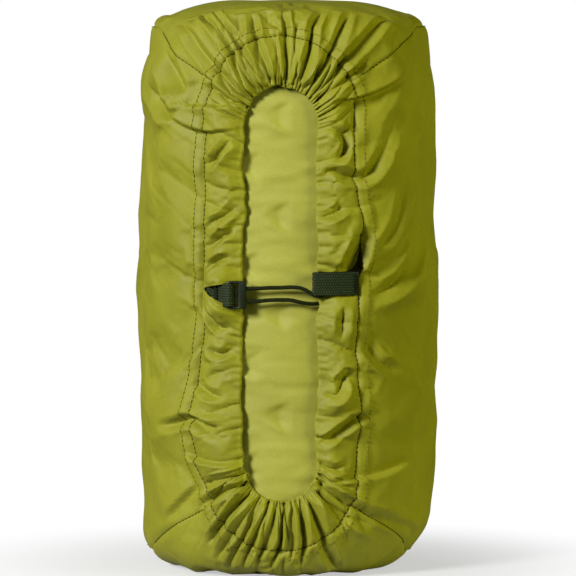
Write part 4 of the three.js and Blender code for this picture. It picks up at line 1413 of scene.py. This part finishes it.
def build_stitches(dark, light):
    """Rows of stitches along the collar seam, its topstitching, the mitres and the end seams."""
    rows = {
        "collar_seam_stitches": (dark, [stitches(line) for line in seam_places(SEAM_HALF_WIDTH)]),
        "collar_topstitches": (
            light, [stitches(line) for line in seam_places(SEAM_HALF_WIDTH + TOPSTITCH_OFFSET)]),
    }
    mitres, rings = [], []
    for is_top in (True, False):
        for side in (1, -1):
            turn = np.linspace(MITRE_STITCH_START, MITRE_STITCH_END, 160)
            length = edge_length(turn)
            length = length if is_top else MERIDIAN - length
            mitres.append(stitches(meridian_places(side * turn, length), lift=0.2))
        turn = np.linspace(MITRE_REAR, 2 * math.pi - MITRE_REAR, 500)
        turn = (turn + math.pi) % (2 * math.pi) - math.pi
        length = np.full_like(turn, END_SEAM + RING_OFFSET)
        rings.append(stitches(meridian_places(turn, length if is_top else MERIDIAN - length)))
    rows["mitre_stitches"] = (dark, mitres)
    rows["end_seam_stitches"] = (light, rings)
    for name, (material, parts) in rows.items():
        piece = make_mesh(name, *join(parts), material)
        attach(piece, "root")


# ---- Mat -----------------------------------------------------------------------------------------

MAT_LOW, MAT_HIGH = cad_box("mat_roll")
MAT_RADIUS = MAT_HIGH[0]
MAT_LAYER = 11.4
MAT_PITCH = 12.0
MAT_CORE = 14.0
BUTTON_PITCH = 63.4
BUTTON_PAIRS = 10
BUTTON_PAIR_GAP = 19.5
BUTTON_BASE = 41.3
BUTTON_DEPTH = 2.0
BUTTON_RAMP = 9.5


def button_dents(arc, z):
    """Darts where the mat's cells are welded: each slopes away to the right and ends in a short step."""
    depth = np.zeros_like(arc)
    around = 2 * math.pi * MAT_RADIUS
    for column in range(2 * BUTTON_PAIRS):
        second = column % 2
        middle = (column // 2) * around / BUTTON_PAIRS - 1.5 - second * BUTTON_PAIR_GAP
        u = (arc - middle + around / 2) % around - around / 2
        base = BUTTON_BASE + 0.5 * second * BUTTON_PITCH
        v = z - base - np.round((z - base) / BUTTON_PITCH) * BUTTON_PITCH
        ramp = np.clip((u + BUTTON_RAMP) / BUTTON_RAMP, 0, 1) ** 1.2 * (1 - smooth(u, 0.2, 10.0))
        reach = 0.5 * (u + BUTTON_RAMP)
        wedge = 1 - smooth(np.abs(v + 0.12 * u), reach, reach + 3.0)
        depth = depth + BUTTON_DEPTH * ramp * wedge * (u > -BUTTON_RAMP) * (u < 10.0)
        depth = depth - 1.2 * bell(u + 0.5, 8.0) * bell(v + 7.0 + 0.3 * u, 2.6)
        depth = depth + 0.5 * bell(u, 13) * bell(v, 16)
    return depth


MAT_TURNS = (MAT_RADIUS - MAT_CORE) / MAT_PITCH
MAT_LAST_TURN = MAT_TURNS - 1.06
MAT_EDGE_ANGLE = math.radians(75)
MAT_END_ROUND = 26.0
MAT_BASE_LIFT = 5.5


def mat_sheet(name, turn, rows, material):
    """Part of the rolled sheet, between two turns counted from the core."""
    radius = np.minimum(MAT_CORE + MAT_PITCH * turn, MAT_RADIUS)
    hold = smooth(turn, MAT_TURNS - 1.05, MAT_TURNS - 0.9)
    radius = radius * (1 - hold) + MAT_RADIUS * hold
    angle = 2 * math.pi * (turn - MAT_TURNS) + MAT_EDGE_ANGLE
    z = np.broadcast_to(rows[:, None], (len(rows), len(turn)))
    arc = np.broadcast_to(angle * MAT_RADIUS, z.shape)
    place = in_plane(arc, z)
    around = (arc + 40.0) % (2 * math.pi * MAT_RADIUS)
    bend = 0.55 * noise(place, 48, 41) - button_dents(arc, z)
    streak = noise(place * np.array([0.22, 1.0, 1.0]), 5.6, 42)
    bend += 0.75 * streak * (0.45 + 0.55 * np.sin(around / 23.0))
    bend += 0.2 * noise(place * np.array([0.4, 1, 1]), 3.4, 43)
    is_outer = smooth(turn, MAT_TURNS - 1.04, MAT_TURNS - 1.0)
    outside = radius + 0.4 + is_outer * np.clip(bend, -3.8, 0.5)
    inside = np.broadcast_to(radius - MAT_LAYER, z.shape)
    squeeze = end_pull(z) + 4.5 * smooth(np.abs(z - MID), MID - 45, MID - 8)
    scale = 1 - squeeze * np.clip(radius / MAT_RADIUS, 0, 1) ** 2 / MAT_RADIUS
    plan = np.stack([np.sin(angle), -np.cos(angle)], -1)
    outer_face = np.concatenate([plan * (outside * scale)[..., None], z[..., None]], -1)
    inner_face = np.concatenate([plan * (inside * scale)[..., None], z[..., None]], -1)
    loop = np.concatenate([outer_face, inner_face[:, ::-1]], 1)
    loop[..., 2] += MAT_BASE_LIFT * (1 - smooth(loop[..., 2], MAT_LOW[2], MAT_LOW[2] + 60))
    loop[..., 2] -= DOME_DROP * smooth(loop[..., 2], HEIGHT - 60, HEIGHT)
    piece = make_mesh(name, loop.reshape(-1, 3), closed_strip_faces(*loop.shape[:2], flip=True), material)
    stands_for(piece, "mat_roll", "mat")


def build_mat(material):
    """One sheet rolled up: the outermost turn is fine and dented, the turns inside it are plainer."""
    front = MAT_TURNS - MAT_EDGE_ANGLE / (2 * math.pi)
    # the outermost turn is finest where it shows in the mouth, this share of a turn on either side
    window = 22 / 360
    fine = 1.0
    outer = np.concatenate([
        np.linspace(MAT_LAST_TURN, front - window, int(116 * fine), endpoint=False),
        np.linspace(front - window, front + window, int(78 * fine), endpoint=False),
        np.linspace(front + window, MAT_TURNS - 0.02, int(40 * fine))])
    ends = MAT_LOW[2] + MAT_END_ROUND, MAT_HIGH[2] - MAT_END_ROUND
    below = np.linspace(MAT_LOW[2], ends[0], 7, endpoint=False)
    above = np.linspace(ends[1], MAT_HIGH[2], 8)
    rows = np.concatenate([below, np.linspace(*ends, int(176 * fine), endpoint=False), above])
    plain_rows = np.concatenate([below, np.linspace(*ends, 4, endpoint=False), above])
    inner = np.linspace(0, MAT_LAST_TURN, int(40 * MAT_TURNS))
    mat_sheet("mat_roll_outer_cloth", outer, rows, material)
    mat_sheet("mat_roll_inner_cloth", inner, plain_rows, material)


# ---- Materials -----------------------------------------------------------------------------------

def new_material(name):
    """A material with its node tree, its shader and the object's own coordinates."""
    material = bpy.data.materials.new(name)
    material.use_nodes = True
    tree = material.node_tree
    place = tree.nodes.new("ShaderNodeTexCoord").outputs["Object"]
    return material, tree, tree.nodes["Principled BSDF"], place


def set_inputs(tree, node, inputs):
    """Sets a node's inputs by name or number: a socket is linked, and anything else is a value."""
    for key, value in inputs.items():
        if isinstance(value, bpy.types.NodeSocket):
            tree.links.new(value, node.inputs[key])
        else:
            node.inputs[key].default_value = value


def add_node(tree, kind, inputs, **settings):
    """A new node with its settings and inputs."""
    node = tree.nodes.new(kind)
    for key, value in settings.items():
        setattr(node, key, value)
    set_inputs(tree, node, inputs)
    return node


def maths(tree, operation, *values):
    """Result of a sum on one or two values."""
    return add_node(tree, "ShaderNodeMath", dict(enumerate(values)), operation=operation).outputs[0]


def mottle(tree, place, **inputs):
    """Value of a noise texture, with its inputs by name."""
    return add_node(tree, "ShaderNodeTexNoise", {"Vector": place, **inputs}).outputs["Fac"]


def mapped(tree, value, low, high, to_low=0.0, to_high=1.0, **settings):
    """A value brought from one range to another."""
    inputs = {"Value": value, "From Min": low, "From Max": high, "To Min": to_low, "To Max": to_high}
    return add_node(tree, "ShaderNodeMapRange", inputs, **settings).outputs[0]


def bump(tree, height, strength, distance, below=None):
    """Surface direction from a height, on top of another bump if there is one below."""
    inputs = {"Height": height, "Strength": strength, "Distance": distance}
    if below is not None:
        inputs["Normal"] = below
    return add_node(tree, "ShaderNodeBump", inputs).outputs[0]


def colour(red, green, blue):
    """Linear colour from display values of 0 to 255."""
    linear = []
    for c in (red / 255, green / 255, blue / 255):
        linear.append(((c + 0.055) / 1.055) ** 2.4 if c > 0.04045 else c / 12.92)
    return (*linear, 1.0)


def mixed_colour(tree, factor, dark, light):
    """A colour between dark at 0 and light at 1."""
    node = add_node(tree, "ShaderNodeMix", {"Factor": factor}, data_type="RGBA")
    node.inputs["A"].default_value = dark
    node.inputs["B"].default_value = light
    return node.outputs["Result"]


def weave_height(tree, place, threads_per_mm):
    """Plain weave: one set of threads goes up where the set that crosses it goes down."""
    turns = math.pi * threads_per_mm / MM
    inputs = {0: place, 1: (turns, turns, turns)}
    scaled = add_node(tree, "ShaderNodeVectorMath", inputs, operation="MULTIPLY")
    parts = add_node(tree, "ShaderNodeSeparateXYZ", {0: scaled.outputs[0]}).outputs
    warp = maths(tree, "SINE", maths(tree, "ADD", parts["X"], parts["Y"]))
    weft = maths(tree, "SINE", parts["Z"])
    return maths(tree, "MULTIPLY", warp, weft)


def nylon(name, dark, light, roughness, crinkle):
    """Thin calendered nylon: fine weave, small crinkles, a soft sheen and slightly uneven dye."""
    material, tree, shader, place = new_material(name)
    tint = mottle(tree, place, Scale=22.0, Detail=4.0, Roughness=0.6)
    threads = mottle(tree, place, Scale=1500.0, Detail=1.0)
    dye = mapped(tree, maths(tree, "MULTIPLY", tint, threads), 0.12, 0.4)
    weave = bump(tree, weave_height(tree, place, 2.2), 0.12, 0.08 * MM)
    small = mottle(tree, place, Scale=190.0, Detail=3.0, Distortion=0.5)
    set_inputs(tree, shader, {
        "Base Color": mixed_colour(tree, dye, dark, light),
        "Normal": bump(tree, small, crinkle, 0.6 * MM, below=weave),
        "Roughness": mapped(tree, tint, 0.3, 0.7, roughness - 0.05, roughness + 0.07),
        "Specular IOR Level": 0.8,
        "Sheen Weight": 0.05,
        "Sheen Roughness": 0.45,
        "Sheen Tint": light,
    })
    return material


def coarse_weave(name, dark, light, threads_per_mm, roughness, depth):
    """Coarse textile with a fuzzy surface, for cord covers and thread: painted shade in the weave's hollows,
    painted highlight on its raised threads, and random fuzz.
    """
    material, tree, shader, place = new_material(name)
    weave = weave_height(tree, place, threads_per_mm)
    fuzz = mottle(tree, place, Scale=900.0, Detail=3.0)
    # darker where the weave sinks and lighter where it rises (painted shade and painted highlight), times
    # random fuzz
    relief_shade_and_fuzz = maths(tree, "MULTIPLY", mapped(tree, weave, -0.6, 1.0), fuzz)
    threads = bump(tree, weave, 0.5, depth * MM)
    set_inputs(tree, shader, {
        "Base Color": mixed_colour(tree, relief_shade_and_fuzz, dark, light),
        "Normal": bump(tree, fuzz, 0.35, 0.1 * MM, below=threads),
        "Roughness": roughness,
        "Specular IOR Level": 0.25,
    })
    return material


def webbing_weave(name, groove, rib):
    """Woven strap: painted highlight on its raised ribs and painted shade in the grooves between them, with
    random wear.
    """
    material, tree, shader, place = new_material(name)
    relief = add_node(tree, "ShaderNodeAttribute", {}, attribute_name="relief").outputs["Fac"]
    fuzz = mottle(tree, place, Scale=700.0, Detail=3.0)
    worn = mapped(tree, fuzz, 0.2, 0.7, to_low=0.5)
    # rib colour where the relief is high and groove colour where it is low: painted highlight and painted
    # shade
    relief_shade_and_fuzz = maths(tree, "MULTIPLY", maths(tree, "POWER", relief, 1.6), worn)
    set_inputs(tree, shader, {
        "Base Color": mixed_colour(tree, relief_shade_and_fuzz, groove, rib),
        "Normal": bump(tree, fuzz, 0.4, 0.1 * MM),
        "Roughness": 0.7,
        "Specular IOR Level": 0.35,
    })
    return material


def moulded(name, base):
    """Moulded plastic with a fine grain."""
    material, tree, shader, place = new_material(name)
    grain = mottle(tree, place, Scale=1600.0, Detail=2.0)
    lighter = tuple(min(1, c * 1.35) for c in base[:3]) + (1.0,)
    set_inputs(tree, shader, {
        "Base Color": mixed_colour(tree, grain, base, lighter),
        "Normal": bump(tree, grain, 0.15, 0.1 * MM),
        "Roughness": 0.42,
    })
    return material


# ---- Stage ---------------------------------------------------------------------------------------

CAMERA_AZIMUTH = math.radians(3)
CAMERA_ELEVATION = math.radians(4)
CAMERA_DISTANCE = 3.3
VIEW_MARGIN = 1.0
VIEW_DROP = 2.3
SURROUND_LIGHT = 0.03
FLOOR_FADE_START = 0.08
FLOOR_FADE_END = 0.26
FLOOR_WHITE_NEAR = 0.5
# name, place in metres, side in metres, power in watts, and whether it shows as a sheen on the sack
LIGHTS = [
    ("key", (-1.6, -2.0, 1.25), 0.7, 82, True),
    ("fill", (2.6, -1.2, 0.5), 1.2, 45, False),
    ("top", (-0.3, 0.3, 2.2), 1.4, 1, False),
    ("back_left", (-2.0, 2.2, 1.0), 1.6, 22, False),
    ("back_right", (2.0, 2.4, 0.8), 1.6, 16, False),
]


def seen_or_lighting(tree):
    """Full white where the camera sees it, and a dim level where it lights the object."""
    is_seen = add_node(tree, "ShaderNodeLightPath", {}).outputs["Is Camera Ray"]
    return mapped(tree, is_seen, 0.0, 1.0, SURROUND_LIGHT, 1.0)


def build_stage():
    """A pale floor that fades into an even white surround."""
    bpy.ops.mesh.primitive_plane_add(size=30, location=(0, 0, 0))
    floor = bpy.context.object
    floor.name = "floor"
    material, tree, shader, place = new_material("pale_floor")
    cloud = mottle(tree, place, Scale=3.0)
    pale = mixed_colour(tree, cloud, (0.86, 0.86, 0.85, 1), (0.9, 0.9, 0.89, 1))
    set_inputs(tree, shader, {"Base Color": pale, "Roughness": 0.9})
    away = add_node(tree, "ShaderNodeVectorMath", {0: place}, operation="LENGTH").outputs["Value"]
    fade = mapped(
        tree, away, FLOOR_FADE_START, FLOOR_FADE_END, to_low=FLOOR_WHITE_NEAR,
        interpolation_type="SMOOTHSTEP")
    glow = add_node(tree, "ShaderNodeEmission", {"Color": (1, 1, 1, 1), "Strength": seen_or_lighting(tree)})
    both = add_node(tree, "ShaderNodeMixShader", {0: fade, 1: shader.outputs[0], 2: glow.outputs[0]})
    tree.links.new(both.outputs[0], tree.nodes["Material Output"].inputs["Surface"])
    floor.data.materials.append(material)


def aim(obj, direction):
    """Turns a light or a camera to look along a direction."""
    obj.rotation_euler = Vector(direction).to_track_quat("-Z", "Y").to_euler()


def add_light(name, position, size, power, mirrored):
    """A soft square light on the sack."""
    light = bpy.data.lights.new(name, "AREA")
    light.shape = "RECTANGLE"
    light.size = size
    light.size_y = size
    light.energy = power
    lamp = bpy.data.objects.new(name, light)
    lamp.location = position
    lamp.visible_glossy = mirrored
    aim(lamp, Vector((0, 0, MID * MM)) - Vector(position))
    bpy.context.scene.collection.objects.link(lamp)


def build_lights():
    """The lights, and a white surround that hardly lights the sack."""
    for light in LIGHTS:
        add_light(*light)
    world = bpy.data.worlds.new("studio")
    bpy.context.scene.world = world
    world.use_nodes = True
    tree = world.node_tree
    backdrop = {"Color": (1, 1, 1, 1), "Strength": seen_or_lighting(tree)}
    set_inputs(tree, tree.nodes["Background"], backdrop)
    world.cycles_visibility.glossy = False
    bpy.context.scene.view_settings.view_transform = "Standard"


def build_camera():
    """A long lens at the photograph's angle, with the sack filling the picture from top to bottom."""
    camera = bpy.data.cameras.new("camera")
    obj = bpy.data.objects.new("camera", camera)
    target = np.array([0.0, 0.0, (MID - VIEW_DROP) * MM])
    direction = np.array([
        math.sin(CAMERA_AZIMUTH) * math.cos(CAMERA_ELEVATION),
        -math.cos(CAMERA_AZIMUTH) * math.cos(CAMERA_ELEVATION),
        math.sin(CAMERA_ELEVATION),
    ])
    obj.location = target + CAMERA_DISTANCE * direction
    aim(obj, -direction)
    tall = (HEIGHT * math.cos(CAMERA_ELEVATION) + 2 * FLAT * math.sin(CAMERA_ELEVATION)) * MM * VIEW_MARGIN
    camera.angle = 2 * math.atan(tall / 2 / CAMERA_DISTANCE)
    bpy.context.scene.collection.objects.link(obj)
    bpy.context.scene.camera = obj


# ---- Build ---------------------------------------------------------------------------------------

SHELL = nylon("shell_nylon", colour(138, 138, 2), colour(156, 156, 8), 0.7, 0.08)
MAT_CLOTH = nylon("mat_nylon", colour(162, 162, 48), colour(176, 176, 60), 0.72, 0.05)
# in the thread, cord and webbing materials the darker colour is painted shade in the hollows and the lighter
# one painted highlight on the raised threads and ribs
DARK_THREAD = coarse_weave("seam_thread", colour(52, 54, 6), colour(84, 86, 20), 3.0, 0.7, 0.05)
THREAD = coarse_weave("shell_thread", colour(120, 121, 18), colour(166, 167, 50), 3.0, 0.55, 0.05)
CORD = coarse_weave("cord_cover", colour(20, 26, 2), colour(44, 54, 10), 1.6, 0.85, 0.2)
WEBBING = webbing_weave("webbing_weave", colour(10, 15, 2), colour(66, 84, 40))
PLASTIC = moulded("anchor_plastic", colour(22, 30, 8))

settle_cloth()
build_wrap(SHELL)
build_end("top_end_fabric", True, "top_end_panel", SHELL)
build_end("bottom_end_fabric", False, "bottom_end_panel", SHELL)
build_collar(SHELL)
build_hem_cords(CORD)
build_cross_cord(CORD)
build_knot(CORD)
build_strap(WEBBING)
build_anchor(PLASTIC)
build_tab(WEBBING)
build_tacks(CORD)
build_mat(MAT_CLOTH)
build_stitches(DARK_THREAD, THREAD)
SLOT_MATERIAL = {
    "shell_fabric": SHELL,
    "mat_fabric": MAT_CLOTH,
    "cord_cover": CORD,
    "webbing": WEBBING,
    "moulded_plastic": PLASTIC,
}
for part in frame["record"]["subparts"]:
    node = frame["nodes"][part["node"]]
    node.data.materials.clear()
    node.data.materials.append(SLOT_MATERIAL[part["material_slot"]])

build_stage()
build_lights()
build_camera()
